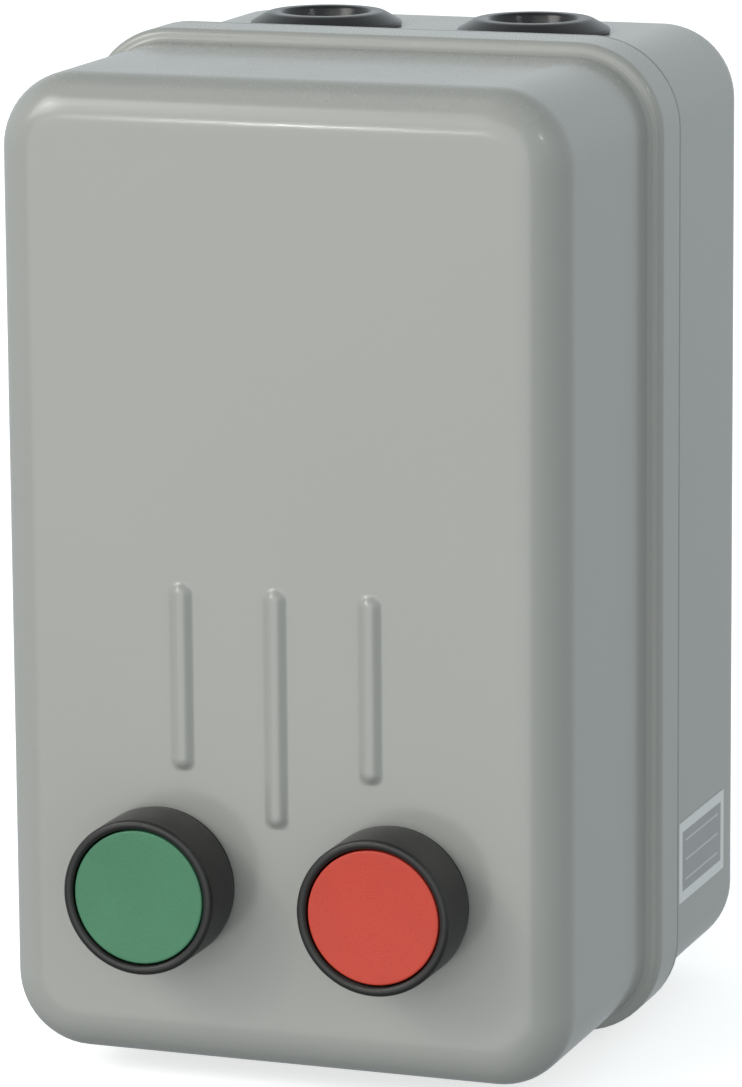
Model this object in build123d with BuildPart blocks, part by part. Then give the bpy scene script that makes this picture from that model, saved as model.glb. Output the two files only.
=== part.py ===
"""Wall-mounted magnetic motor starter in a pressed steel box.

Origin: centre of the back face, on the wall. +X right, +Y into the wall, +Z up, millimetres.
Every "depth" below is a distance in front of the wall, so it is the negative of Y.
"""

from build123d import *
import math
import os

# ---- steel box -------------------------------------------------------------------------
body_width = 100.0
body_height = 168.5
corner_radius = 13.0
sheet = 1.2
rear_depth = 52.5
back_edge_radius = 6.0
rim_overlap = 6.5
rim_step = 2.4
rim_edge_radius = 1.2
rim_flare_radius = 1.0
rim_seam_gap = 0.4
cover_visible_depth = 48.0
front_edge_radius = 7.5
cover_seat_gap = 0.3
gasket_thickness = 2.0
gasket_overlap = 0.25
gasket_side_gap = 0.1

# ---- embossed ribs on the cover --------------------------------------------------------
rib_width = 4.4
rib_raise = 1.0
rib_edge_radius = 0.9
rib_spacing = 16.8
rib_top = 0.0
rib_outer_length = 32.8
rib_middle_length = 41.7

# ---- wall fixing, cable entries, label -------------------------------------------------
wall_hole_radius = 2.75
wall_hole_spacing_x = 64.0
wall_hole_spacing_z = 150.0
entry_radius = 11.0
entry_spacing = 38.6
entry_depth = 25.0
grommet_flange_radius = 13.4
grommet_stand = 2.6
grommet_inner_lip = 1.6
grommet_inner_radius = 12.2
grommet_groove_gap = 0.1
grommet_membrane = 1.0
grommet_dish_radius = 7.6
grommet_edge_radius = 1.2
label_width = 27.2
label_height = 14.6
label_thickness = 0.15
label_corner_radius = 0.3
label_depth = 23.7
label_level = -60.2

# ---- cover fixing ----------------------------------------------------------------------
tongue_width = 14.0
tongue_thickness = 1.0
tongue_joggle = 0.7
tongue_corner_gap = 2.0
tongue_reach = 8.5
tongue_weld_length = 9.0
screw_notch_gap = 0.3
cover_screw_inset = 3.5
cover_screw_radius = 2.0
cover_screw_head_radius = 3.9
cover_screw_head_height = 1.9
cover_screw_inside = 4.8
weld_nut_width = 12.0
weld_nut_thickness = 3.2
thread_gap = 0.1

# ---- push buttons ----------------------------------------------------------------------
button_spacing = 41.8
button_level = -52.3
button_projection = 11.45
button_travel = 4.0
bezel_flange = 2.4
bezel_edge_radius = 0.8
bezel_lip = 1.65
bezel_floor = 1.5
bezel_back = 12.0
thread_radius = 11.0
panel_hole_gap = 0.15
seal_thickness = 0.8
seal_margin = 0.3
cap_side_gap = 0.25
cap_recess = 0.5
cap_thickness = 3.4
cap_edge_radius = 0.6
shoulder_gap = 0.4
guide_wall = 2.0
guide_length = 7.0
guide_fit = 0.1
stem_radius = 3.0
stem_fit = 0.08
stem_gap = 0.3
stem_reach = 14.8
clip_radius = 4.8
clip_thickness = 0.8
clip_gap = 0.3
nut_wall = 2.0
nut_thickness = 4.0
spring_wire = 1.0
spring_outer_radius = 6.2

# ---- mounting plate --------------------------------------------------------------------
plate_width = 84.0
plate_height = 132.0
plate_thickness = 1.5
plate_corner_radius = 4.0
plate_hole_margin = 6.0
standoff_height = 6.0
standoff_radius = 4.0
screw_radius = 1.6
screw_hole_gap = 0.15
screw_head_radius = 3.4
screw_head_height = 2.4
screw_slot_width = 0.9
screw_slot_depth = 1.1
slot_reach = 1.2
screw_tip_gap = 1.0
terminal_hole_depth = 8.0

# ---- contactor -------------------------------------------------------------------------
contactor_left = -14.5
contactor_level = 27.5
contactor_side_margin = 1.3
contactor_height = 63.0
foot_height = 77.0
foot_thickness = 3.5
foot_screw_offset = 5.0
base_depth = 34.5
moulding_wall = 3.0
housing_depth = 19.3
chamber_height = 34.0
chamber_depth = 15.5
chamber_pocket_height = 28.0
armature_cavity_height = 50.0
armature_cavity_depth = 16.3
barrier_depth = 9.5
barrier_thickness = 2.4
poles = 4
pole_pitch = 10.6
front_cover_depth = 8.0
front_cover_wall = 2.0
core_width = 14.0
core_height = 45.0
core_bar = 6.0
core_leg = 7.0
core_centre_leg = 11.0
core_leg_length = 19.3
moving_leg_length = 5.2
armature_travel = 5.0
core_gap = 0.3
bobbin_gap = 0.5
bobbin_wall = 1.2
bobbin_flange_width = 32.0
bobbin_flange_height = 29.6
winding_inset = 1.2
carrier_thickness = 4.0
carrier_side_room = 4.0
carrier_height = 28.0
carrier_cheek = 2.0
post_width = 7.2
post_height = 8.0
post_side_gap = 0.4
post_wall = 1.2
carrier_bar_thickness = 3.5
carrier_bar_gap = 0.8
tab_width = 7.0
tab_height = 5.0
tab_side_gap = 0.5
tab_stand = 2.0
strip_thickness = 1.2
strip_width = 5.0
strip_gap = 0.1
tip_radius = 1.8
tip_thickness = 0.8
tip_offset = 9.0
contact_gap = 5.2
bridge_width = 4.4
bridge_length = 22.0
terminal_offset = 28.0
washer_size = 6.8
washer_thickness = 1.2
armature_spring_offset = 13.0
armature_spring_radius = 3.0
contact_spring_radius = 2.0
small_spring_wire = 0.6
coil_terminal_offset = 15.0
coil_ledge_width = 8.0
coil_ledge_reach = 7.4
coil_ledge_depth = 30.0
coil_ledge_thickness = 8.0

# ---- thermal overload relay ------------------------------------------------------------
relay_top = -12.0
relay_bottom = -70.0
relay_tier_top = -58.0
relay_back_gap = 5.3
relay_tier_depth = 48.8
relay_housing_front = 66.0
relay_cover_depth = 12.0
relay_wall = 1.8
relay_top_wall = 2.5
relay_side_wall = 2.5
relay_floor = 3.0
relay_foot = 30.0
relay_barrier_depth = 56.0
prong_width = 6.4
prong_inside = 8.0
prong_beyond_screw = 3.5
relay_screw_inset = 6.0
heater_thickness = 0.8
heater_height = 5.0
heater_length = 26.0
heater_end_gap = 1.0
slider_gap = 0.3
slider_thickness = 2.5
slider_left_reach = 3.0
slider_right_reach = 6.0
peg_length = 5.0
peg_width = 1.6
dial_radius = 5.5
dial_gap = 0.3
dial_x = 1.0
dial_level = -27.0
dial_depth = 6.0
dial_stand = 1.6
dial_slot_width = 1.4
reset_radius = 2.6
reset_fit = 0.1
reset_flange_radius = 3.5
reset_flange_thickness = 1.7
aux_recess_height = 11.0
aux_recess_width = 23.0
aux_recess_depth = 8.0
aux_screw_level = -51.5

# ---- start contact block ---------------------------------------------------------------
switch_width = 11.0
switch_base_height = 40.0
switch_chamber_height = 29.4
switch_base_depth = 10.6
switch_back = 50.0
switch_front = 83.0
switch_wall = 1.3
switch_plunger_size = 5.6
switch_plunger_fit = 0.1
switch_plunger_back = 58.5
switch_flange_size = 8.0
switch_flange_thickness = 2.0
switch_bridge_length = 18.0
switch_bridge_width = 3.0
switch_contact_inset = 6.0
switch_screw_inset = 2.6
switch_screw_head = 2.3
switch_spring_radius = 2.4
bracket_thickness = 1.5
bracket_foot = 12.0
bracket_web_gap = 1.5

# ---- earth stud and leads --------------------------------------------------------------
earth_level = -74.0
earth_stud_radius = 2.0
earth_stud_length = 11.0
earth_nut_across_flats = 7.0
earth_nut_thickness = 3.2
earth_washer_radius = 4.5
earth_washer_thickness = 1.0
lead_radius = 1.0

# ---- worked-out places -----------------------------------------------------------------
rim_back = rear_depth - rim_overlap
cover_shoulder = rear_depth + gasket_thickness + cover_seat_gap
rim_front = cover_shoulder + sheet
stop_flange_front = rim_back - rim_seam_gap
total_depth = rim_front + cover_visible_depth
rim_width = body_width + 2 * rim_step
rim_height = body_height + 2 * rim_step
rim_radius = corner_radius + rim_step
cover_screw_depth = rear_depth - cover_screw_inset
tongue_spacing = body_width - 2 * (corner_radius + tongue_corner_gap) - tongue_width
bezel_radius = thread_radius + bezel_flange
guide_radius = thread_radius - guide_wall
nut_across_flats = 2 * (thread_radius + nut_wall)
contactor_width = poles * pole_pitch + 2 * contactor_side_margin
contactor_x = contactor_left + contactor_width / 2
carrier_width = contactor_width - 2 * carrier_side_room
panel_back = total_depth - sheet
inner_half_height = body_height / 2 - sheet
rim_floor = -rim_height / 2
button_front = total_depth + button_projection
start_x = -button_spacing / 2
stop_x = button_spacing / 2
stem_end = panel_back - stem_reach
plate_back = sheet + standoff_height
plate_front = plate_back + plate_thickness
base_front = plate_front + base_depth
housing_front = base_front + housing_depth
chamber_front = housing_front + chamber_depth
contactor_front = chamber_front + front_cover_depth
core_back = plate_front + foot_thickness
fixed_pole_face = core_back + core_bar + core_leg_length
moving_pole_face = fixed_pole_face + armature_travel + core_gap
carrier_back = moving_pole_face + moving_leg_length + core_bar
fixed_tip_front = housing_front + strip_thickness + tip_thickness
bridge_back = fixed_tip_front + contact_gap + tip_thickness
carrier_bar_back = chamber_front + carrier_bar_gap
carrier_bar_front = carrier_bar_back + carrier_bar_thickness
pole_x = [contactor_x + pole_pitch * (i - (poles - 1) / 2) for i in range(poles)]
relay_poles = pole_x[:3]
relay_back = plate_front + relay_back_gap
relay_cover_front = relay_housing_front + relay_cover_depth
relay_middle = (relay_top + relay_bottom) / 2
relay_inner_bottom = relay_tier_top + relay_wall
relay_inner_top = relay_top - relay_top_wall
plunger_tip = stem_end - stem_gap
plate_hole_x = plate_width - 2 * plate_hole_margin
plate_hole_z = plate_height - 2 * plate_hole_margin
foot_level = (contactor_height + foot_height) / 4
contactor_feet = [
    (contactor_x - foot_screw_offset, contactor_level + foot_level),
    (contactor_x + foot_screw_offset, contactor_level - foot_level),
]
prong_back = housing_front + strip_thickness
relay_screws = [(p, relay_bottom + relay_screw_inset) for p in pole_x]
aux_screws = [(p, aux_screw_level) for p in pole_x[:2]]
reset_spot = (stop_x, button_level)
switch_screw_offset = switch_base_height / 2 - switch_screw_inset
switch_screws = [(start_x, button_level - switch_screw_offset), (start_x, button_level + switch_screw_offset)]
bracket_web_top = button_level + switch_base_height / 2 + bracket_web_gap + bracket_thickness
bracket_screw = (start_x, bracket_web_top + bracket_foot / 2)

os.makedirs("parts", exist_ok=True)


def save(piece, name):
    """Label a finished piece and write it as its own STEP file."""
    piece.part.label = name
    export_step(piece.part, f"parts/{name}.step")


def block(x, z, width, height, back, front, mode=Mode.ADD):
    """Inside a part: a box centred on (x, z), from one depth to another."""
    with BuildSketch(Plane.XZ.offset(back)) as outline:
        with Locations((x, z)):
            Rectangle(width, height)
    extrude(outline.sketch, amount=front - back, mode=mode)


def round_bar(spots, radius, back, front, mode=Mode.ADD):
    """Inside a part: round bars along the depth, one at each (x, z) spot."""
    with BuildSketch(Plane.XZ.offset(back)) as outline:
        with Locations(*spots):
            Circle(radius)
    extrude(outline.sketch, amount=front - back, mode=mode)


def slotted_screws(name, seats, head_radius=screw_head_radius, washer=0.0):
    """Cross-slotted screws that point at the wall: seats lists (spots, seat depth, length)."""
    washer_height = washer_thickness if washer else 0
    cross = slot_reach * head_radius
    with BuildPart() as screws:
        for spots, seat, length in seats:
            head_seat = seat + washer_height
            head_top = head_seat + screw_head_height
            round_bar(spots, head_radius, head_seat, head_top)
            round_bar(spots, screw_radius, seat - length, head_seat)
            for x, z in spots:
                if washer:
                    block(x, z, washer, washer, seat, head_seat)
                block(x, z, cross, screw_slot_width, head_top - screw_slot_depth, head_top, Mode.SUBTRACT)
                block(x, z, screw_slot_width, cross, head_top - screw_slot_depth, head_top, Mode.SUBTRACT)
        rims = screws.edges().filter_by(GeomType.CIRCLE).filter_by(lambda e: abs(e.radius - head_radius) < 0.01)
        fillet([e for e in rims if is_head_front(e, seats, washer_height)], screw_head_height / 3)
    save(screws, name)


def is_head_front(edge, seats, washer_height):
    """Whether a circular edge lies on the front of one of the screw heads."""
    depths = [seat + washer_height + screw_head_height for _, seat, _ in seats]
    return min(abs(-edge.center().Y - depth) for depth in depths) < 0.01


def sleeve(name, spots, radius, wire, back, front):
    """The space that a set of coil springs fills, as tubes along the depth."""
    with BuildPart() as springs:
        round_bar(spots, radius, back, front)
        round_bar(spots, radius - wire, back, front, Mode.SUBTRACT)
    save(springs, name)


def e_core(name, bar_depth, leg_end):
    """A laminated E core: its bar starts at bar_depth and its legs reach to leg_end."""
    towards = 1 if leg_end > bar_depth else -1
    bar_end = bar_depth + towards * core_bar
    outer_leg = (core_height - core_leg) / 2
    with BuildPart() as core:
        block(contactor_x, contactor_level, core_width, core_height, *sorted((bar_depth, bar_end)))
        for offset_z, leg in ((-outer_leg, core_leg), (0, core_centre_leg), (outer_leg, core_leg)):
            block(contactor_x, contactor_level + offset_z, core_width, leg, *sorted((bar_end, leg_end)))
    save(core, name)


# ======================================================================================
# Steel box
# ======================================================================================
def make_rear_box():
    """Pressed back box with its stop flange, wall holes, cable entries and the cover screw's hole."""
    with BuildPart() as rear_box:
        with BuildSketch(Plane.XZ):
            RectangleRounded(body_width, body_height, corner_radius)
        extrude(amount=rear_depth)
        fillet(rear_box.faces().sort_by(Axis.Y)[-1].edges(), back_edge_radius)
        offset(amount=-sheet, openings=rear_box.faces().sort_by(Axis.Y)[0])
        with BuildSketch(Plane.XZ.offset(stop_flange_front)):
            RectangleRounded(rim_width, rim_height, rim_radius)
            RectangleRounded(body_width, body_height, corner_radius, mode=Mode.SUBTRACT)
        extrude(amount=-sheet)
        with BuildSketch(Plane.XZ):
            with GridLocations(wall_hole_spacing_x, wall_hole_spacing_z, 2, 2):
                Circle(wall_hole_radius)
        extrude(amount=sheet, mode=Mode.SUBTRACT)
        with BuildSketch(Plane.XY):
            with Locations((-entry_spacing / 2, -entry_depth), (entry_spacing / 2, -entry_depth)):
                Circle(entry_radius)
        extrude(amount=rim_height, both=True, mode=Mode.SUBTRACT)
        with BuildSketch(Plane.XY.offset(-body_height / 2)):
            with Locations((0, -cover_screw_depth)):
                Circle(cover_screw_radius + screw_notch_gap)
        extrude(amount=sheet, mode=Mode.SUBTRACT)
    save(rear_box, "rear_box")


def make_cover_shell():
    """Deep-drawn front cover: flared rim over the back box, three embossed ribs, two button holes."""
    button_spots = [(start_x, button_level), (stop_x, button_level)]
    rib_lengths = (rib_outer_length, rib_middle_length, rib_outer_length)
    with BuildPart() as cover_shell:
        with BuildSketch(Plane.XZ.offset(rim_back)):
            RectangleRounded(body_width, body_height, corner_radius)
        extrude(amount=total_depth - rim_back)
        fillet(cover_shell.faces().sort_by(Axis.Y)[0].edges(), front_edge_radius)
        with BuildSketch(Plane.XZ.offset(rim_back)):
            RectangleRounded(rim_width, rim_height, rim_radius)
        extrude(amount=rim_front - rim_back)
        shoulder = cover_shell.faces().filter_by(Axis.Y).sort_by(Axis.Y)[1]
        flare_edges = shoulder.inner_wires()[0].edges()
        fillet(shoulder.outer_wire().edges(), min(rim_edge_radius, sheet))
        fillet(flare_edges, rim_flare_radius)
        with BuildPart(mode=Mode.SUBTRACT) as hollow:
            with BuildSketch(Plane.XZ.offset(rim_back)):
                RectangleRounded(body_width - 2 * sheet, body_height - 2 * sheet, corner_radius - sheet)
            extrude(amount=panel_back - rim_back)
            fillet(hollow.faces().sort_by(Axis.Y)[0].edges(), front_edge_radius - sheet)
            with BuildSketch(Plane.XZ.offset(rim_back)):
                RectangleRounded(rim_width - 2 * sheet, rim_height - 2 * sheet, rim_radius - sheet)
            extrude(amount=cover_shoulder - rim_back)
        with BuildSketch(Plane.XZ.offset(total_depth)):
            for i, length in enumerate(rib_lengths):
                with Locations(((i - 1) * rib_spacing, rib_top - length / 2)):
                    SlotOverall(length, rib_width, rotation=90)
        extrude(amount=rib_raise)
        rib_fronts = cover_shell.faces().filter_by(Axis.Y).group_by(Axis.Y)[0]
        fillet(rib_fronts.edges(), rib_edge_radius)
        with BuildSketch(Plane.XZ.offset(panel_back)):
            for i, length in enumerate(rib_lengths):
                with Locations(((i - 1) * rib_spacing, rib_top - length / 2)):
                    SlotOverall(length - rib_width / 2, rib_width / 2, rotation=90)
        extrude(amount=rib_raise, mode=Mode.SUBTRACT)
        round_bar(button_spots, thread_radius + panel_hole_gap, panel_back, total_depth, Mode.SUBTRACT)
        notch_width = 2 * (cover_screw_radius + screw_notch_gap)
        with BuildSketch(Plane.XY.offset(rim_floor)):
            with Locations((0, -cover_screw_depth)):
                Circle(notch_width / 2)
            with Locations((0, -(cover_screw_depth + rim_back) / 2)):
                Rectangle(notch_width, cover_screw_depth - rim_back)
        extrude(amount=sheet, mode=Mode.SUBTRACT)
    save(cover_shell, "cover_shell")


def make_cover_gasket():
    """Rubber strip on the back box's front edge, under the shoulder of the cover's rim."""
    with BuildPart() as cover_gasket:
        outer_inset = 2 * (sheet + gasket_side_gap)
        inner_inset = 2 * (sheet - gasket_overlap)
        with BuildSketch(Plane.XZ.offset(rear_depth)):
            RectangleRounded(rim_width - outer_inset, rim_height - outer_inset, rim_radius - outer_inset / 2)
            RectangleRounded(
                body_width - inner_inset,
                body_height - inner_inset,
                corner_radius - inner_inset / 2,
                mode=Mode.SUBTRACT,
            )
        extrude(amount=gasket_thickness)
    save(cover_gasket, "cover_gasket")


def make_grommets(name, side):
    """Two closed rubber grommets in the cable entries of one end (side +1 top, -1 bottom)."""
    wall = side * body_height / 2
    plane = Plane(origin=(0, -entry_depth, wall), x_dir=(1, 0, 0), z_dir=(0, 0, side))
    spots = [(-entry_spacing / 2, 0), (entry_spacing / 2, 0)]
    with BuildPart() as grommets:
        with BuildSketch(plane):
            with Locations(*spots):
                Circle(grommet_flange_radius)
        extrude(amount=grommet_stand)
        outer_face = grommets.faces().filter_by(Axis.Z).group_by(Axis.Z)[-1 if side > 0 else 0]
        fillet(outer_face.edges(), grommet_edge_radius)
        with BuildSketch(plane):
            with Locations(*spots):
                Circle(entry_radius - grommet_groove_gap)
        extrude(amount=-sheet)
        with BuildSketch(plane.offset(-sheet)):
            with Locations(*spots):
                Circle(grommet_inner_radius)
        extrude(amount=-grommet_inner_lip)
        with BuildSketch(plane.offset(grommet_stand)):
            with Locations(*spots):
                Circle(grommet_dish_radius)
        extrude(amount=-(grommet_stand + sheet - grommet_membrane), mode=Mode.SUBTRACT)
        with BuildSketch(plane.offset(-sheet - grommet_inner_lip)):
            with Locations(*spots):
                Circle(grommet_dish_radius)
        extrude(amount=grommet_inner_lip, mode=Mode.SUBTRACT)
    save(grommets, name)


def make_cover_tongues():
    """Two joggled tongues spot-welded inside the cover's top, which slip inside the back box."""
    top = inner_half_height
    low = top - tongue_joggle
    weld_end = cover_shoulder + tongue_weld_length
    bend = cover_shoulder + tongue_joggle
    with BuildPart() as cover_tongues:
        for x in (-tongue_spacing / 2, tongue_spacing / 2):
            with BuildSketch(Plane.YZ.offset(x - tongue_width / 2)):
                with BuildLine():
                    Polyline(
                        (-weld_end, top),
                        (-weld_end, top - tongue_thickness),
                        (-bend, top - tongue_thickness),
                        (-cover_shoulder, low - tongue_thickness),
                        (tongue_reach - cover_shoulder, low - tongue_thickness),
                        (tongue_reach - cover_shoulder, low),
                        (-cover_shoulder, low),
                        (-bend, top),
                        close=True,
                    )
                make_face()
            extrude(amount=tongue_width)
    save(cover_tongues, "cover_tongues")


def make_cover_screw():
    """Low-head screw that holds the cover's rim from below, with its weld nut in the back box."""
    head_top = rim_floor - thread_gap
    with BuildPart() as cover_screw:
        with BuildSketch(Plane.XY.offset(head_top)):
            with Locations((0, -cover_screw_depth)):
                Circle(cover_screw_head_radius)
        extrude(amount=-cover_screw_head_height)
        fillet(cover_screw.faces().sort_by(Axis.Z)[0].edges(), cover_screw_head_height / 2)
        with BuildSketch(Plane.XY.offset(head_top)):
            with Locations((0, -cover_screw_depth)):
                Circle(cover_screw_radius)
        extrude(amount=-inner_half_height + cover_screw_inside - head_top)
        with BuildSketch(Plane.XY.offset(head_top - cover_screw_head_height)):
            with Locations((0, -cover_screw_depth)):
                Rectangle(2 * cover_screw_head_radius, screw_slot_width)
        extrude(amount=screw_slot_depth, mode=Mode.SUBTRACT)
    save(cover_screw, "cover_screw")

    with BuildPart() as cover_weld_nut:
        with BuildSketch(Plane.XY.offset(-inner_half_height)):
            with Locations((0, -cover_screw_depth)):
                Rectangle(weld_nut_width, 2 * (rear_depth - cover_screw_depth))
                Circle(cover_screw_radius + thread_gap, mode=Mode.SUBTRACT)
        extrude(amount=weld_nut_thickness)
    save(cover_weld_nut, "cover_weld_nut")


def make_label():
    """Thin blank sticker on the right side of the back box."""
    with BuildPart() as side_label:
        with BuildSketch(Plane.YZ.offset(body_width / 2)):
            with Locations((-label_depth, label_level)):
                RectangleRounded(label_width, label_height, label_corner_radius)
        extrude(amount=label_thickness)
    save(side_label, "side_label")


def make_earth_stud():
    """Earth stud with washer and nut on the floor of the back box."""
    spot = [(0, earth_level)]
    with BuildPart() as earth_stud:
        round_bar(spot, earth_stud_radius, sheet, sheet + earth_stud_length)
        round_bar(spot, earth_washer_radius, sheet, sheet + earth_washer_thickness)
        with BuildSketch(Plane.XZ.offset(sheet + earth_washer_thickness)):
            with Locations(*spot):
                RegularPolygon(earth_nut_across_flats / 2, 6, major_radius=False)
        extrude(amount=earth_nut_thickness)
    save(earth_stud, "earth_stud")


# ======================================================================================
# Push buttons
# ======================================================================================
def make_button(prefix, x):
    """One push button: bezel, cap, plunger, return spring and retaining clip."""
    spot = [(x, button_level)]
    flange_back = total_depth + seal_thickness
    bore_front = bezel_radius - bezel_lip
    cap_front = button_front - cap_recess
    cap_back = cap_front - cap_thickness
    shoulder = cap_back - button_travel - shoulder_gap
    guide_back = cap_back - guide_length
    body_back = panel_back - bezel_back
    floor_front = body_back + bezel_floor

    with BuildPart() as bezel:
        round_bar(spot, bezel_radius, flange_back, button_front)
        fillet(bezel.faces().sort_by(Axis.Y)[0].edges(), bezel_edge_radius)
        round_bar(spot, thread_radius, body_back, flange_back)
        round_bar(spot, bore_front, shoulder, button_front, Mode.SUBTRACT)
        round_bar(spot, guide_radius + guide_fit, floor_front, shoulder, Mode.SUBTRACT)
        round_bar(spot, stem_radius + stem_fit, body_back, floor_front, Mode.SUBTRACT)
    save(bezel, f"{prefix}_bezel")

    with BuildPart() as cap:
        round_bar(spot, bore_front - cap_side_gap, cap_back, cap_front)
        fillet(cap.faces().sort_by(Axis.Y)[0].edges(), cap_edge_radius)
    save(cap, f"{prefix}_cap")

    with BuildPart() as plunger:
        round_bar(spot, guide_radius, guide_back, cap_back)
        round_bar(spot, stem_radius, stem_end, guide_back)
    save(plunger, f"{prefix}_plunger")

    sleeve(f"{prefix}_return_spring", spot, spring_outer_radius, spring_wire, floor_front, guide_back)

    with BuildPart() as clip:
        clip_front = body_back - clip_gap
        round_bar(spot, clip_radius, clip_front - clip_thickness, clip_front)
        round_bar(spot, stem_radius, clip_front - clip_thickness, clip_front, Mode.SUBTRACT)
    save(clip, f"{prefix}_retaining_clip")


def make_button_fixings():
    """Panel seals in front of the cover and lock nuts behind it, one of each per button."""
    spots = [(start_x, button_level), (stop_x, button_level)]
    with BuildPart() as button_seals:
        flange_back = total_depth + seal_thickness
        round_bar(spots, bezel_radius - seal_margin, total_depth, flange_back)
        round_bar(spots, thread_radius + panel_hole_gap, total_depth, flange_back, Mode.SUBTRACT)
    save(button_seals, "button_seals")

    with BuildPart() as lock_nuts:
        with BuildSketch(Plane.XZ.offset(panel_back - nut_thickness)):
            with Locations(*spots):
                RegularPolygon(nut_across_flats / 2, 6, major_radius=False)
                Circle(thread_radius + thread_gap, mode=Mode.SUBTRACT)
        extrude(amount=nut_thickness)
    save(lock_nuts, "lock_nuts")


# ======================================================================================
# Mounting plate
# ======================================================================================
def make_mounting_plate():
    """Steel plate on four standoffs, which carries the contactor, relay and start contact."""
    half_x = plate_hole_x / 2
    half_z = plate_hole_z / 2
    corner_spots = [(x, z) for x in (-half_x, half_x) for z in (-half_z, half_z)]
    hole = screw_radius + screw_hole_gap
    with BuildPart() as mounting_plate:
        with BuildSketch(Plane.XZ.offset(plate_back)):
            RectangleRounded(plate_width, plate_height, plate_corner_radius)
        extrude(amount=plate_thickness)
        round_bar(corner_spots + contactor_feet + [bracket_screw], hole, plate_back, plate_front, Mode.SUBTRACT)
    save(mounting_plate, "mounting_plate")

    with BuildPart() as plate_standoffs:
        round_bar(corner_spots, standoff_radius, sheet, plate_back)
        round_bar(corner_spots, hole, sheet, plate_back, Mode.SUBTRACT)
    save(plate_standoffs, "plate_standoffs")

    seats = [
        (corner_spots, plate_front, plate_thickness + standoff_height / 2),
        (contactor_feet, core_back, foot_thickness + plate_thickness),
        ([bracket_screw], plate_front + bracket_thickness, bracket_thickness + plate_thickness),
    ]
    slotted_screws("plate_screws", seats)


# ======================================================================================
# Contactor
# ======================================================================================
def make_contactor_mouldings():
    """Base with feet and coil ledges, contact housing with pole chambers, and front cover."""
    x = contactor_x
    z = contactor_level
    inner_width = contactor_width - 2 * moulding_wall
    inner_height = contactor_height - 2 * moulding_wall
    ledge_z = z + (contactor_height + coil_ledge_reach) / 2
    screw_hole = screw_radius + screw_hole_gap
    with BuildPart() as contactor_base:
        block(x, z, contactor_width, foot_height, plate_front, core_back)
        block(x, z, contactor_width, contactor_height, core_back, base_front)
        for side in (-1, 1):
            ledge_x = x + side * coil_terminal_offset
            ledge_back = coil_ledge_depth - coil_ledge_thickness
            block(ledge_x, ledge_z, coil_ledge_width, coil_ledge_reach, ledge_back, coil_ledge_depth)
        block(x, z, inner_width, inner_height, core_back, base_front, Mode.SUBTRACT)
        round_bar(contactor_feet, screw_hole, plate_front, core_back, Mode.SUBTRACT)
        coil_spots = [(x - coil_terminal_offset, ledge_z), (x + coil_terminal_offset, ledge_z)]
        round_bar(coil_spots, screw_hole, coil_ledge_depth - coil_ledge_thickness, coil_ledge_depth, Mode.SUBTRACT)
    save(contactor_base, "contactor_base")

    line_spots = [(p, z + terminal_offset) for p in pole_x]
    load_spots = [(p, z - terminal_offset) for p in pole_x]
    cavity_front = base_front + armature_cavity_depth
    bar_room_back = carrier_bar_back - armature_travel - carrier_bar_gap
    bar_room_height = post_height + 2 * post_side_gap
    bar_room_width = pole_x[-1] - pole_x[0] + post_width + 2 * post_side_gap
    with BuildPart() as contactor_housing:
        block(x, z, contactor_width, contactor_height, base_front, housing_front)
        block(x, z, contactor_width, chamber_height, housing_front, chamber_front)
        for i in range(poles + 1):
            barrier_x = x + pole_pitch * (i - poles / 2)
            block(barrier_x, z, barrier_thickness, contactor_height, housing_front, housing_front + barrier_depth)
        block(x, z, inner_width, armature_cavity_height, base_front, cavity_front, Mode.SUBTRACT)
        for p in pole_x:
            pocket_width = pole_pitch - barrier_thickness
            block(p, z, pocket_width, chamber_pocket_height, housing_front, chamber_front, Mode.SUBTRACT)
            post_slot = post_width + 2 * post_side_gap
            block(p, z, post_slot, bar_room_height, cavity_front, housing_front, Mode.SUBTRACT)
            strip_slot = strip_width + 2 * strip_gap
            slot_front = housing_front + strip_thickness + strip_gap
            block(p, z, strip_slot, chamber_height, housing_front, slot_front, Mode.SUBTRACT)
        block(x, z, bar_room_width, bar_room_height, bar_room_back, chamber_front, Mode.SUBTRACT)
        round_bar(line_spots + load_spots, screw_hole, cavity_front - terminal_hole_depth, housing_front, Mode.SUBTRACT)
    save(contactor_housing, "contactor_housing")

    window_width = tab_width + 2 * tab_side_gap
    window_height = tab_height + 2 * tab_side_gap
    with BuildPart() as contactor_front_cover:
        block(x, z, contactor_width, chamber_height, chamber_front, contactor_front)
        bar_room_front = contactor_front - front_cover_wall
        block(x, z, bar_room_width, bar_room_height, chamber_front, bar_room_front, Mode.SUBTRACT)
        block(x, z, window_width, window_height, contactor_front - front_cover_wall, contactor_front, Mode.SUBTRACT)
    save(contactor_front_cover, "contactor_front_cover")

    coil_screw_length = coil_ledge_thickness - screw_tip_gap
    slotted_screws("coil_terminals", [(coil_spots, coil_ledge_depth, coil_screw_length)], washer=washer_size)
    plain_spots = line_spots + load_spots[3:]
    clamped_spots = load_spots[:3]
    strip_front = housing_front + strip_thickness
    screw_length = strip_thickness + terminal_hole_depth - screw_tip_gap
    seats = [
        (plain_spots, strip_front, screw_length),
        (clamped_spots, strip_front + strip_thickness, screw_length),
    ]
    slotted_screws("contactor_terminal_screws", seats, washer=washer_size)


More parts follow.
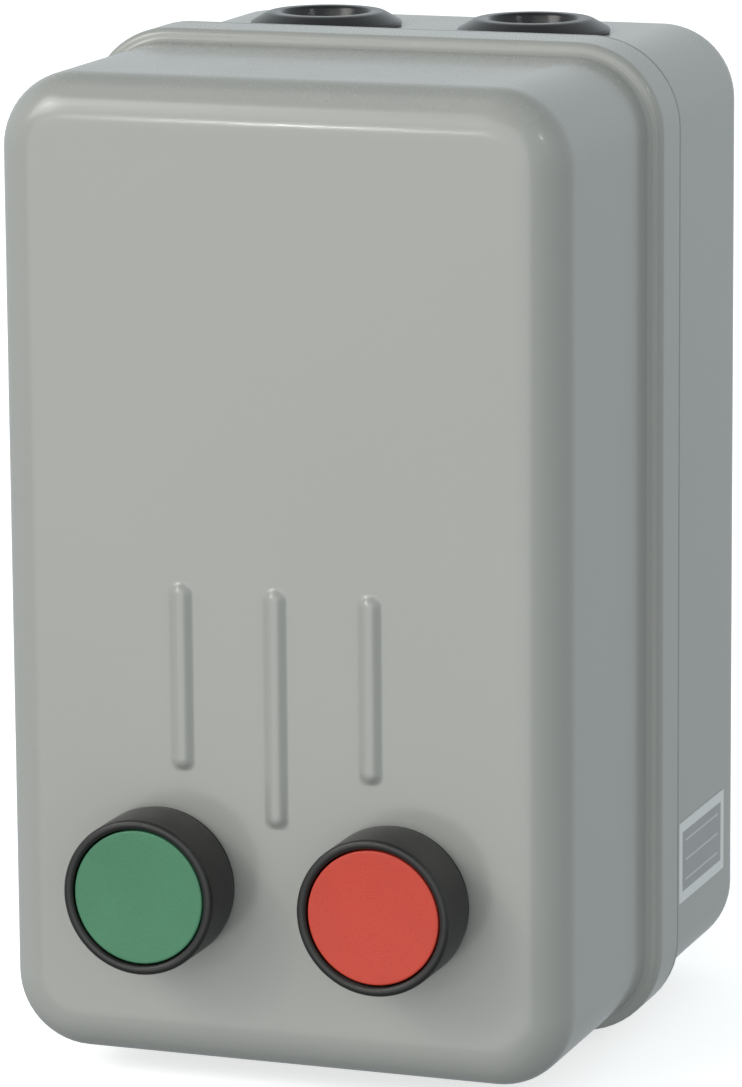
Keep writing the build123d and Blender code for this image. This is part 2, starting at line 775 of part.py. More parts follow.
def make_magnet():
    """Fixed and moving E cores with the coil on its bobbin and the armature springs."""
    x = contactor_x
    z = contactor_level
    e_core("fixed_core", core_back, fixed_pole_face)
    e_core("moving_core", carrier_back, moving_pole_face)

    bore_width = core_width + 2 * bobbin_gap
    bore_height = core_centre_leg + 2 * bobbin_gap
    tube_width = bore_width + 2 * bobbin_wall
    tube_height = bore_height + 2 * bobbin_wall
    bobbin_back = core_back + core_bar
    bobbin_front = fixed_pole_face - bobbin_gap
    with BuildPart() as coil_bobbin:
        for back in (bobbin_back, bobbin_front - bobbin_wall):
            block(x, z, bobbin_flange_width, bobbin_flange_height, back, back + bobbin_wall)
        block(x, z, tube_width, tube_height, bobbin_back, bobbin_front)
        block(x, z, bore_width, bore_height, bobbin_back, bobbin_front, Mode.SUBTRACT)
    save(coil_bobbin, "coil_bobbin")

    with BuildPart() as coil_winding:
        with BuildSketch(Plane.XZ.offset(bobbin_back + bobbin_wall)):
            with Locations((x, z)):
                RectangleRounded(
                    bobbin_flange_width - 2 * winding_inset,
                    bobbin_flange_height - 2 * winding_inset,
                    2 * winding_inset,
                )
                Rectangle(tube_width, tube_height, mode=Mode.SUBTRACT)
        extrude(amount=bobbin_front - bobbin_back - 2 * bobbin_wall)
    save(coil_winding, "coil_winding")

    spring_spots = [(x - armature_spring_offset, z), (x + armature_spring_offset, z)]
    sleeve("armature_springs", spring_spots, armature_spring_radius, small_spring_wire, bobbin_front, carrier_back)


def make_contact_carrier():
    """Moulding that carries the moving core at its back and a contact bridge in each post."""
    x = contactor_x
    z = contactor_level
    carrier_front = carrier_back + carrier_thickness
    window_width = post_width - 2 * post_wall
    cheek_x = core_width / 2 + carrier_cheek / 2
    with BuildPart() as contact_carrier:
        block(x, z, carrier_width, carrier_height, carrier_back, carrier_front)
        for side in (-1, 1):
            block(x + side * cheek_x, z, carrier_cheek, carrier_height, carrier_back - core_bar, carrier_back)
        for p in pole_x:
            block(p, z, post_width, post_height, carrier_front, carrier_bar_back)
        bar_width = pole_x[-1] - pole_x[0] + post_width
        block(x, z, bar_width, post_height, carrier_bar_back, carrier_bar_front)
        block(x, z, tab_width, tab_height, carrier_bar_front, contactor_front + tab_stand)
        for p in pole_x:
            block(p, z, window_width, post_height, bridge_back, carrier_bar_back, Mode.SUBTRACT)
    save(contact_carrier, "contact_carrier")

    with BuildPart() as contact_bridges:
        for p in pole_x:
            block(p, z, bridge_width, bridge_length, bridge_back, bridge_back + strip_thickness)
            tips = [(p, z - tip_offset), (p, z + tip_offset)]
            round_bar(tips, tip_radius, bridge_back - tip_thickness, bridge_back)
    save(contact_bridges, "contact_bridges")

    spots = [(p, z) for p in pole_x]
    bridge_front = bridge_back + strip_thickness
    sleeve("contact_springs", spots, contact_spring_radius, small_spring_wire, bridge_front, carrier_bar_back)


def make_fixed_contacts():
    """Flat contact strips from the terminals into the pole chambers, on both sides."""
    inner_end = post_height / 2 + post_side_gap + strip_thickness
    outer_end = contactor_height / 2 - strip_gap
    strip_length = outer_end - inner_end
    for name, side in (("line_contacts", 1), ("load_contacts", -1)):
        with BuildPart() as contacts:
            for p in pole_x:
                strip_z = contactor_level + side * (inner_end + outer_end) / 2
                strip_front = housing_front + strip_thickness
                block(p, strip_z, strip_width, strip_length, housing_front, strip_front)
                tip = [(p, contactor_level + side * tip_offset)]
                round_bar(tip, tip_radius, strip_front, strip_front + tip_thickness)
                terminal = [(p, contactor_level + side * terminal_offset)]
                hole = screw_radius + screw_hole_gap
                round_bar(terminal, hole, housing_front, strip_front, Mode.SUBTRACT)
        save(contacts, name)


# ======================================================================================
# Thermal overload relay
# ======================================================================================
def make_relay_mouldings():
    """Relay housing with its terminal tier, and the front cover with dial and reset holes."""
    x = contactor_x
    inner_width = contactor_width - 2 * relay_side_wall
    body_height_mid = (relay_top + relay_tier_top) / 2
    inner_mid = (relay_inner_top + relay_inner_bottom) / 2
    inner_height = relay_inner_top - relay_inner_bottom
    tier_mid = (relay_tier_top + relay_bottom) / 2
    hole = screw_radius + screw_hole_gap
    with BuildPart() as relay_housing:
        block(x, relay_middle, relay_foot, relay_foot, plate_front, relay_back)
        block(x, relay_middle, contactor_width, relay_top - relay_bottom, relay_back, relay_tier_depth)
        block(x, body_height_mid, contactor_width, relay_top - relay_tier_top, relay_tier_depth, relay_housing_front)
        for i in range(poles + 1):
            barrier_x = x + pole_pitch * (i - poles / 2)
            tier_height = relay_tier_top - relay_bottom
            block(barrier_x, tier_mid, barrier_thickness, tier_height, relay_tier_depth, relay_barrier_depth)
        block(x, inner_mid, inner_width, inner_height, relay_back + relay_floor, relay_housing_front, Mode.SUBTRACT)
        for p in relay_poles:
            strip_slot = strip_width + 2 * strip_gap
            slot_front = relay_tier_depth + strip_thickness + strip_gap
            slot_mid = relay_tier_top + relay_wall / 2
            block(p, slot_mid, strip_slot, relay_wall, relay_tier_depth, slot_front, Mode.SUBTRACT)
            prong_slot = prong_width + 2 * strip_gap
            slot_z = (relay_top + relay_inner_top) / 2
            slot_height = relay_top - relay_inner_top
            back = prong_back - strip_gap
            block(p, slot_z, prong_slot, slot_height, back, prong_back + strip_thickness + strip_gap, Mode.SUBTRACT)
        round_bar(relay_screws, hole, relay_tier_depth - terminal_hole_depth, relay_tier_depth, Mode.SUBTRACT)
    save(relay_housing, "relay_housing")

    left = x - contactor_width / 2
    recess_x = left + aux_recess_width / 2
    recess_z = relay_tier_top + aux_recess_height / 2
    dial_floor = relay_cover_front - dial_depth
    with BuildPart() as relay_front_cover:
        block(x, body_height_mid, contactor_width, relay_top - relay_tier_top, relay_housing_front, relay_cover_front)
        recess_back = relay_cover_front - aux_recess_depth
        block(recess_x, recess_z, aux_recess_width, aux_recess_height, recess_back, relay_cover_front, Mode.SUBTRACT)
        round_bar([(dial_x, dial_level)], dial_radius + dial_gap, dial_floor, relay_cover_front, Mode.SUBTRACT)
        round_bar([reset_spot], reset_radius + reset_fit, relay_housing_front, relay_cover_front, Mode.SUBTRACT)
        round_bar(aux_screws, hole, relay_housing_front, recess_back, Mode.SUBTRACT)
    save(relay_front_cover, "relay_front_cover")

    strip_front = relay_tier_depth + strip_thickness
    screw_length = strip_thickness + terminal_hole_depth - screw_tip_gap
    aux_seat = relay_cover_front - aux_recess_depth
    seats = [
        (relay_screws[:3], strip_front, screw_length),
        (relay_screws[3:], relay_tier_depth, terminal_hole_depth - screw_tip_gap),
        (aux_screws, aux_seat, aux_seat - relay_housing_front),
    ]
    slotted_screws("relay_terminal_screws", seats, washer=washer_size)


def make_relay_mechanism():
    """Prongs, load strips, bimetal heaters, trip slider, current dial and reset button."""
    hole = screw_radius + screw_hole_gap
    with BuildPart() as relay_prongs:
        low = relay_top - prong_inside
        high = contactor_level - terminal_offset + prong_beyond_screw
        for p in relay_poles:
            block(p, (low + high) / 2, prong_width, high - low, prong_back, prong_back + strip_thickness)
        terminals = [(p, contactor_level - terminal_offset) for p in relay_poles]
        round_bar(terminals, hole, prong_back, prong_back + strip_thickness, Mode.SUBTRACT)
    save(relay_prongs, "relay_prongs")

    strip_top = relay_inner_bottom + heater_height + heater_end_gap
    strip_low = relay_bottom + heater_end_gap
    with BuildPart() as relay_load_strips:
        for p in relay_poles:
            strip_front = relay_tier_depth + strip_thickness
            block(p, (strip_top + strip_low) / 2, strip_width, strip_top - strip_low, relay_tier_depth, strip_front)
        round_bar(relay_screws[:3], hole, relay_tier_depth, strip_front, Mode.SUBTRACT)
    save(relay_load_strips, "relay_load_strips")

    heater_level = relay_inner_bottom + heater_end_gap + heater_height / 2
    heater_tip = relay_tier_depth - heater_length
    with BuildPart() as bimetal_strips:
        for p in relay_poles:
            block(p, heater_level, heater_thickness, heater_height, heater_tip, relay_tier_depth)
    save(bimetal_strips, "bimetal_strips")

    slider_back = relay_back + relay_floor + slider_gap
    slider_front = slider_back + slider_thickness
    peg_offset = heater_thickness / 2 + slider_gap + peg_width / 2
    left = relay_poles[0] - slider_left_reach
    right = relay_poles[-1] + slider_right_reach
    with BuildPart() as trip_slider:
        block((left + right) / 2, heater_level, right - left, heater_height, slider_back, slider_front)
        for p in relay_poles:
            block(p + peg_offset, heater_level, peg_width, heater_height, slider_front, heater_tip + peg_length)
    save(trip_slider, "trip_slider")

    dial_floor = relay_cover_front - dial_depth + dial_gap
    dial_front = relay_cover_front + dial_stand
    with BuildPart() as current_dial:
        round_bar([(dial_x, dial_level)], dial_radius, dial_floor, dial_front)
        fillet(current_dial.faces().sort_by(Axis.Y)[0].edges(), dial_gap)
        slot_length = 1.5 * dial_radius
        block(dial_x, dial_level, dial_slot_width, slot_length, relay_cover_front, dial_front, Mode.SUBTRACT)
    save(current_dial, "current_dial")

    with BuildPart() as reset_button:
        flange_front = relay_housing_front - slider_gap
        round_bar([reset_spot], reset_flange_radius, flange_front - reset_flange_thickness, flange_front)
        round_bar([reset_spot], reset_radius, flange_front, plunger_tip)
        fillet(reset_button.faces().sort_by(Axis.Y)[0].edges(), dial_gap)
    save(reset_button, "reset_button")


# ======================================================================================
# Start contact block
# ======================================================================================
def make_start_switch():
    """Contact block behind the start button, on a bent bracket."""
    x = start_x
    z = button_level
    base_top = switch_back + switch_base_depth
    chamber_width = switch_width - 2 * switch_wall
    cavity_height = switch_chamber_height - 2 * switch_wall
    strip_front = base_top + strip_thickness
    bridge_level = strip_front + button_travel + stem_gap
    plunger_hole = switch_plunger_size + 2 * switch_plunger_fit
    well = 2 * switch_spring_radius + 2 * slider_gap
    with BuildPart() as start_switch_housing:
        block(x, z, switch_width, switch_base_height, switch_back, base_top)
        block(x, z, switch_width, switch_chamber_height, base_top, switch_front)
        block(x, z, chamber_width, cavity_height, base_top, switch_front - switch_wall, Mode.SUBTRACT)
        block(x, z, plunger_hole, plunger_hole, switch_front - switch_wall, switch_front, Mode.SUBTRACT)
        block(x, z, max(well, plunger_hole), max(well, plunger_hole), switch_back + switch_wall, base_top, Mode.SUBTRACT)
        strip_slot = strip_width + 2 * strip_gap
        block(x, z, strip_slot, switch_chamber_height, base_top, strip_front + strip_gap, Mode.SUBTRACT)
        hole = screw_radius + screw_hole_gap
        round_bar(switch_screws, hole, base_top - terminal_hole_depth, base_top, Mode.SUBTRACT)
    save(start_switch_housing, "start_switch_housing")

    with BuildPart() as start_switch_plunger:
        block(x, z, switch_plunger_size, switch_plunger_size, switch_plunger_back, plunger_tip)
        flange_front = switch_front - switch_wall - slider_gap
        flange_back = flange_front - switch_flange_thickness
        block(x, z, switch_flange_size, switch_flange_size, flange_back, flange_front)
        slot_front = bridge_level + strip_thickness
        block(x, z, switch_bridge_width, switch_plunger_size, bridge_level, slot_front, Mode.SUBTRACT)
    save(start_switch_plunger, "start_switch_plunger")

    with BuildPart() as start_switch_bridge:
        block(x, z, switch_bridge_width, switch_bridge_length, bridge_level, bridge_level + strip_thickness)
    save(start_switch_bridge, "start_switch_bridge")

    with BuildPart() as start_switch_contacts:
        for side in (-1, 1):
            inner = switch_contact_inset
            outer = switch_base_height / 2 - strip_gap
            strip_z = z + side * (inner + outer) / 2
            block(x, strip_z, strip_width, outer - inner, base_top, strip_front)
        round_bar(switch_screws, hole, base_top, strip_front, Mode.SUBTRACT)
    save(start_switch_contacts, "start_switch_contacts")

    screw_length = strip_thickness + terminal_hole_depth - screw_tip_gap
    slotted_screws("start_switch_screws", [(switch_screws, strip_front, screw_length)], switch_screw_head)
    spring_floor = switch_back + switch_wall
    sleeve("start_switch_spring", [(x, z)], switch_spring_radius, small_spring_wire, spring_floor, switch_plunger_back)

    web_top = bracket_web_top
    web_mid = web_top - bracket_thickness / 2
    shelf_low = z - switch_base_height / 2
    shelf_back = switch_back - bracket_thickness
    with BuildPart() as start_switch_bracket:
        foot_mid = web_top - bracket_thickness + bracket_foot / 2
        block(x, foot_mid, switch_width, bracket_foot, plate_front, plate_front + bracket_thickness)
        block(x, web_mid, switch_width, bracket_thickness, plate_front, switch_back)
        block(x, (web_top + shelf_low) / 2, switch_width, web_top - shelf_low, shelf_back, switch_back)
        foot_hole = screw_radius + screw_hole_gap
        round_bar([bracket_screw], foot_hole, plate_front, plate_front + bracket_thickness, Mode.SUBTRACT)
    save(start_switch_bracket, "start_switch_bracket")


# ======================================================================================
# Internal leads
# ======================================================================================
switch_top = button_level + switch_base_height / 2
switch_strip_depth = switch_back + switch_base_depth + strip_thickness / 2
coil_lead_depth = coil_ledge_depth + lead_radius
coil_washer_left = contactor_x - coil_terminal_offset - washer_size / 2
coil_washer_level = contactor_level + (contactor_height + coil_ledge_reach) / 2
# from the upper start contact, up the left side, to the left coil terminal
coil_lead_route = [
    (start_x, -switch_strip_depth, switch_top),
    (start_x, -switch_strip_depth, switch_top + 10),
    (start_x - 8, -switch_strip_depth + 7, switch_top + 27),
    (start_x - 10, -switch_strip_depth + 19, switch_top + 52),
    (start_x - 7, -coil_lead_depth - 3, coil_washer_level - 14),
    (coil_washer_left - 13, -coil_lead_depth, coil_washer_level),
    (coil_washer_left, -coil_lead_depth, coil_washer_level),
]
aux_x = pole_x[-1]
load_end = contactor_level - contactor_height / 2
load_strip_depth = housing_front + strip_thickness / 2
switch_low = button_level - switch_base_height / 2
# from the holding contact, down the right side and under the relay, to the lower start contact
hold_lead_route = [
    (aux_x, -load_strip_depth, load_end),
    (aux_x, -load_strip_depth, load_end - 4.4),
    (aux_x + 12, -load_strip_depth + 1, load_end - 5),
    (aux_x + 15, -load_strip_depth + 5, load_end - 26),
    (aux_x + 14, -load_strip_depth + 9, load_end - 52),
    (aux_x + 9, -load_strip_depth + 16, relay_bottom - 5),
    (aux_x - 18, -load_strip_depth + 18, relay_bottom - 6.5),
    (start_x + 8, -switch_strip_depth + 12, switch_low - 5.5),
    (start_x, -switch_strip_depth, switch_low - 8),
    (start_x, -switch_strip_depth, switch_low),
]


def make_lead(name, points):
    """One insulated lead: straight runs joined by arcs as large as the two runs allow."""
    corners = [Vector(*p) for p in points]
    radii = []
    for before, corner, after in zip(corners, corners[1:], corners[2:]):
        into = corner - before
        out = after - corner
        shorter = min(into.length, out.length)
        turn = math.radians(into.get_angle(out))
        radii.append(0.45 * shorter / math.tan(turn / 2))
    print(name, "radii", [round(r, 1) for r in radii])
    with BuildPart() as lead:
        with BuildLine() as route:
            FilletPolyline(*points, radius=radii)
        with BuildSketch(Plane(origin=route.line @ 0, z_dir=route.line % 0)):
            Circle(lead_radius)
        sweep()
    save(lead, name)


make_rear_box()
make_cover_shell()
make_cover_gasket()
make_grommets("top_grommets", 1)
make_grommets("bottom_grommets", -1)
make_cover_tongues()
make_cover_screw()
make_label()
make_earth_stud()
make_button("start", start_x)
make_button("stop", stop_x)
make_button_fixings()
make_mounting_plate()
make_contactor_mouldings()
make_magnet()
make_contact_carrier()
make_fixed_contacts()
make_relay_mouldings()
make_relay_mechanism()
make_start_switch()
make_lead("coil_lead", coil_lead_route)
make_lead("hold_lead", hold_lead_route)
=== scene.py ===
"""Looks of a wall-mounted magnetic motor starter: enamelled box, push buttons and what is inside."""

import math

import bmesh
import bpy
from bpy.props import FloatProperty, FloatVectorProperty, PointerProperty
from mathutils import Matrix, Vector


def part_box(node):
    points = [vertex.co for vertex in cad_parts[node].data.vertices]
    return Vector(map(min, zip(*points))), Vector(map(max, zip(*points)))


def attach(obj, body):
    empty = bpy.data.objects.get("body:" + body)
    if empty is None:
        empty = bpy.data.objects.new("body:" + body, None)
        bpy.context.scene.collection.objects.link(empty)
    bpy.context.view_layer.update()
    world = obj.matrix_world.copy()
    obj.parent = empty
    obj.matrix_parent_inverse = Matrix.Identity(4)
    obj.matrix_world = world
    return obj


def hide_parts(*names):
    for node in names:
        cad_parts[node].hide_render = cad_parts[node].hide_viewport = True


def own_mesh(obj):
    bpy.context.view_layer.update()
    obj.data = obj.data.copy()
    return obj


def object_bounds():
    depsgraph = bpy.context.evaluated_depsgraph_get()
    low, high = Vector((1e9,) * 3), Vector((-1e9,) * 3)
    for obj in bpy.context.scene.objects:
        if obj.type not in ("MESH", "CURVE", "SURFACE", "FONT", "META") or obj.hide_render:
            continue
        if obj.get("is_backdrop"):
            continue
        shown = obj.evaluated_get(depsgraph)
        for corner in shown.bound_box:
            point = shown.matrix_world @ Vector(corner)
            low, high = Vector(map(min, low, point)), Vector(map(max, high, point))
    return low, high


bl_info = {
    "name": "Motor Starter Looks",
    "version": (1, 0, 0),
    "blender": (4, 5, 0),
    "location": "View3D > Sidebar > Starter",
    "description": "Enamelled box, push buttons, grommets, springs and finishes of a motor starter",
    "category": "Object",
}

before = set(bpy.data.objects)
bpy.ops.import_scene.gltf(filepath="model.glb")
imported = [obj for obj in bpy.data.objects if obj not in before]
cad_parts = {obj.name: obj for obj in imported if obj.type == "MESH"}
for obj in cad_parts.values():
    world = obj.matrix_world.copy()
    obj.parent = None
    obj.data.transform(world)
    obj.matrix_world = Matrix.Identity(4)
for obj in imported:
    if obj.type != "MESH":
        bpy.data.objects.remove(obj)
CAD_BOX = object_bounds()
MM = 0.001
BOTTOM = CAD_BOX[0].z
SUPPORT = 0.9 * MM  # distance of the extra loops that keep the flat faces flat
SEAM_GAP = 0.4 * MM  # between the cover's rim and the back box's stop flange
CUT_ROUND = 0.28 * MM  # round on every cut edge of the sheet
RIB_LENGTHS = (32.8 * MM, 41.7 * MM, 32.8 * MM)  # from the middle of the box down
PANEL_HOLE_RADIUS = 11.2 * MM
SCREW_HOLE_RADIUS = 2.3 * MM
WALL_HOLE_X, WALL_HOLE_Z, WALL_HOLE_RADIUS = 32 * MM, 75 * MM, 2.75 * MM
ENTRY_X, ENTRY_FROM_WALL, ENTRY_RADIUS = 19.3 * MM, 25 * MM, 11 * MM
THREAD_RADIUS = 11 * MM
BUTTON_TRAVEL = 4 * MM
ARMATURE_TRAVEL = 5 * MM
BOX_CENTRE = (0.0, -0.05, 0.0)
WARM = (1.0, 0.972, 0.93)


# --- Settings ---
class EnclosureSettings(bpy.types.PropertyGroup):
    """Sizes and paint of the steel box."""

    paint: FloatVectorProperty(
        name="Enamel", description="Colour of the grey enamel", subtype="COLOR", size=3,
        default=(0.345, 0.350, 0.328), min=0.0, max=1.0,
    )
    sheet: FloatProperty(
        name="Sheet", description="Thickness of the steel sheet", unit="LENGTH", default=1.2 * MM,
    )
    corner: FloatProperty(
        name="Corner radius", description="Radius of the long corners", unit="LENGTH", default=13 * MM,
    )
    front_fillet: FloatProperty(
        name="Front edge", description="Radius of the cover's front edge", unit="LENGTH", default=7.5 * MM,
    )
    back_fillet: FloatProperty(
        name="Back edge", description="Radius of the back box's rear edge", unit="LENGTH", default=6 * MM,
    )
    rim_step: FloatProperty(
        name="Rim step", description="How far the flared rim stands out", unit="LENGTH", default=2.4 * MM,
    )
    rim_depth: FloatProperty(
        name="Rim depth", description="Length of the rim, back to front", unit="LENGTH", default=10 * MM,
    )
    rim_roll: FloatProperty(
        name="Rim roll", description="Radius of the rim's front edge", unit="LENGTH", default=1.25 * MM,
    )
    rim_flare: FloatProperty(
        name="Rim flare", description="Hollow radius from cover to rim", unit="LENGTH", default=1.1 * MM,
    )
    rib_width: FloatProperty(
        name="Rib width", description="Width of each embossed rib", unit="LENGTH", default=4.6 * MM,
    )
    rib_raise: FloatProperty(
        name="Rib height", description="How far each rib stands out", unit="LENGTH", default=1.0 * MM,
    )
    rib_spacing: FloatProperty(
        name="Rib spacing", description="Distance between rib centres", unit="LENGTH", default=16.8 * MM,
    )


class ButtonSettings(bpy.types.PropertyGroup):
    """Colours of the push buttons."""

    start_colour: FloatVectorProperty(
        name="Start", description="Colour of the start cap", subtype="COLOR", size=3,
        default=(0.058, 0.200, 0.108), min=0.0, max=1.0,
    )
    stop_colour: FloatVectorProperty(
        name="Stop", description="Colour of the stop cap", subtype="COLOR", size=3,
        default=(0.530, 0.048, 0.026), min=0.0, max=1.0,
    )
    bezel_colour: FloatVectorProperty(
        name="Bezel", description="Colour of the bezels", subtype="COLOR", size=3,
        default=(0.008, 0.008, 0.007), min=0.0, max=1.0,
    )


class StageSettings(bpy.types.PropertyGroup):
    """Camera and light."""

    azimuth: FloatProperty(name="Azimuth", description="Camera angle round, in degrees", default=19.98)
    elevation: FloatProperty(name="Elevation", description="Camera angle up, in degrees", default=11.69)
    roll: FloatProperty(name="Roll", description="Camera turn, in degrees", default=-0.42)
    distance: FloatProperty(name="Distance", description="Camera to aim", unit="LENGTH", default=0.977)
    lens: FloatProperty(name="Lens", description="Focal length, in millimetres", default=196.1)
    aim: FloatVectorProperty(
        name="Aim", description="Point that the camera looks at", subtype="TRANSLATION", size=3,
        default=(0.0172, -0.1042, 0.0086),
    )
    sky: FloatProperty(name="Sky", description="Strength of the sky at the horizon", default=0.78, min=0.0)
    key: FloatProperty(name="Lamps", description="Watts of a lamp whose share is 1", default=17.5, min=0.0)


def settings():
    """The scene's settings of this add-on."""
    return bpy.context.scene.starter


# --- Shader node groups ---
def new_group(name, inputs, outputs):
    """An empty shader group with float sockets, and its input and output nodes."""
    group = bpy.data.node_groups.new(name, "ShaderNodeTree")
    for label, value in inputs.items():
        socket = group.interface.new_socket(name=label, in_out="INPUT", socket_type="NodeSocketFloat")
        socket.default_value = value
    for label in outputs:
        group.interface.new_socket(name=label, in_out="OUTPUT", socket_type="NodeSocketFloat")
    return group, group.nodes.new("NodeGroupInput"), group.nodes.new("NodeGroupOutput")


def link(tree, source, target):
    """Joins two sockets."""
    tree.links.new(source, target)


def axes_of(tree, source="Object"):
    """X, Y and Z of the chosen texture coordinates, as sockets."""
    split = tree.nodes.new("ShaderNodeSeparateXYZ")
    link(tree, tree.nodes.new("ShaderNodeTexCoord").outputs[source], split.inputs[0])
    return split.outputs


def math_node(tree, operation, first, second=None, clamp=False):
    """A Math node; first and second are sockets or numbers. Returns its output."""
    node = tree.nodes.new("ShaderNodeMath")
    node.operation = operation
    node.use_clamp = clamp
    for socket, value in zip(node.inputs, (first, second)):
        if value is None:
            continue
        if isinstance(value, (int, float)):
            socket.default_value = value
        else:
            link(tree, value, socket)
    return node.outputs[0]


def noise_node(tree, scale, detail=3.0, rough=0.5, stretch=None):
    """Noise on Object coordinates; scale is a socket or a number per metre. Returns its factor."""
    coords = tree.nodes.new("ShaderNodeTexCoord")
    noise = tree.nodes.new("ShaderNodeTexNoise")
    vector = coords.outputs["Object"]
    if stretch:
        mapping = tree.nodes.new("ShaderNodeMapping")
        mapping.inputs["Scale"].default_value = stretch
        link(tree, vector, mapping.inputs["Vector"])
        vector = mapping.outputs["Vector"]
    link(tree, vector, noise.inputs["Vector"])
    if isinstance(scale, (int, float)):
        noise.inputs["Scale"].default_value = scale
    else:
        link(tree, scale, noise.inputs["Scale"])
    noise.inputs["Detail"].default_value = detail
    noise.inputs["Roughness"].default_value = rough
    return noise.outputs["Fac"]


def ramp(tree, value, low, high):
    """A smooth step of value from 0 at low to 1 at high."""
    node = tree.nodes.new("ShaderNodeMapRange")
    node.interpolation_type = "SMOOTHSTEP"
    link(tree, value, node.inputs["Value"])
    node.inputs["From Min"].default_value = low
    node.inputs["From Max"].default_value = high
    return node.outputs["Result"]


def make_groups():
    """The effects that several materials share."""
    sizes = {"Peel Size": 450.0, "Speck Size": 3500.0, "Specks": 0.15}
    group, given, put = new_group("Orange Peel", sizes, ["Height"])
    peel = noise_node(group, given.outputs["Peel Size"], detail=1.5)
    specks = noise_node(group, given.outputs["Speck Size"], detail=2.0)
    fine = math_node(group, "MULTIPLY", specks, given.outputs["Specks"])
    link(group, math_node(group, "ADD", peel, fine), put.inputs["Height"])

    group, given, put = new_group("Uneven Finish", {"Size": 30.0, "Low": 0.3, "High": 0.4}, ["Value"])
    broad = noise_node(group, given.outputs["Size"], detail=4.0, rough=0.6)
    span = math_node(group, "SUBTRACT", given.outputs["High"], given.outputs["Low"])
    lift = math_node(group, "MULTIPLY", ramp(group, broad, 0.1, 0.9), span)
    link(group, math_node(group, "ADD", lift, given.outputs["Low"]), put.inputs["Value"])

    group, given, put = new_group("Settled Dust", {"Amount": 0.2}, ["Mask"])
    geometry = group.nodes.new("ShaderNodeNewGeometry")
    split = group.nodes.new("ShaderNodeSeparateXYZ")
    link(group, geometry.outputs["Normal"], split.inputs[0])
    upward = ramp(group, split.outputs["Z"], 0.2, 0.95)
    patches = ramp(group, noise_node(group, 60.0, detail=6.0, rough=0.65), 0.42, 0.75)
    grains = ramp(group, noise_node(group, 2600.0, detail=1.0), 0.60, 0.72)
    coarse = math_node(group, "MULTIPLY", patches, 0.6)
    soft = math_node(group, "ADD", coarse, math_node(group, "MULTIPLY", grains, 0.4))
    upper = math_node(group, "MULTIPLY", soft, upward)
    settled = math_node(group, "MULTIPLY", upper, given.outputs["Amount"], clamp=True)
    link(group, settled, put.inputs["Mask"])

    group, given, put = new_group("Fine Scuffs", {"Scuffs Size": 220.0, "Amount": 0.5}, ["Mask"])
    drawn = (0.15, 1.0, 1.6)
    long_marks = noise_node(group, given.outputs["Scuffs Size"], detail=5.0, rough=0.7, stretch=drawn)
    sparse = ramp(group, noise_node(group, 35.0, detail=2.0), 0.52, 0.70)
    marks = math_node(group, "MULTIPLY", ramp(group, long_marks, 0.60, 0.68), sparse)
    link(group, math_node(group, "MULTIPLY", marks, given.outputs["Amount"], clamp=True), put.inputs["Mask"])

    group, given, put = new_group("Brushed Grain", {"Grain Size": 900.0}, ["Height"])
    coarse = noise_node(group, given.outputs["Grain Size"], detail=3.0, stretch=(0.04, 1.0, 1.0))
    link(group, coarse, put.inputs["Height"])

    sizes = {"Ring Pitch": 3.0, "Centre X": 0.0, "Centre Z": 0.0}
    group, given, put = new_group("Turned Rings", sizes, ["Height"])
    axes = axes_of(group)
    across = math_node(group, "SUBTRACT", axes["X"], given.outputs["Centre X"])
    up = math_node(group, "SUBTRACT", axes["Z"], given.outputs["Centre Z"])
    across_squared = math_node(group, "MULTIPLY", across, across)
    squared = math_node(group, "ADD", across_squared, math_node(group, "MULTIPLY", up, up))
    turns = math_node(group, "MULTIPLY", math_node(group, "SQRT", squared), given.outputs["Ring Pitch"])
    link(group, math_node(group, "SINE", turns), put.inputs["Height"])


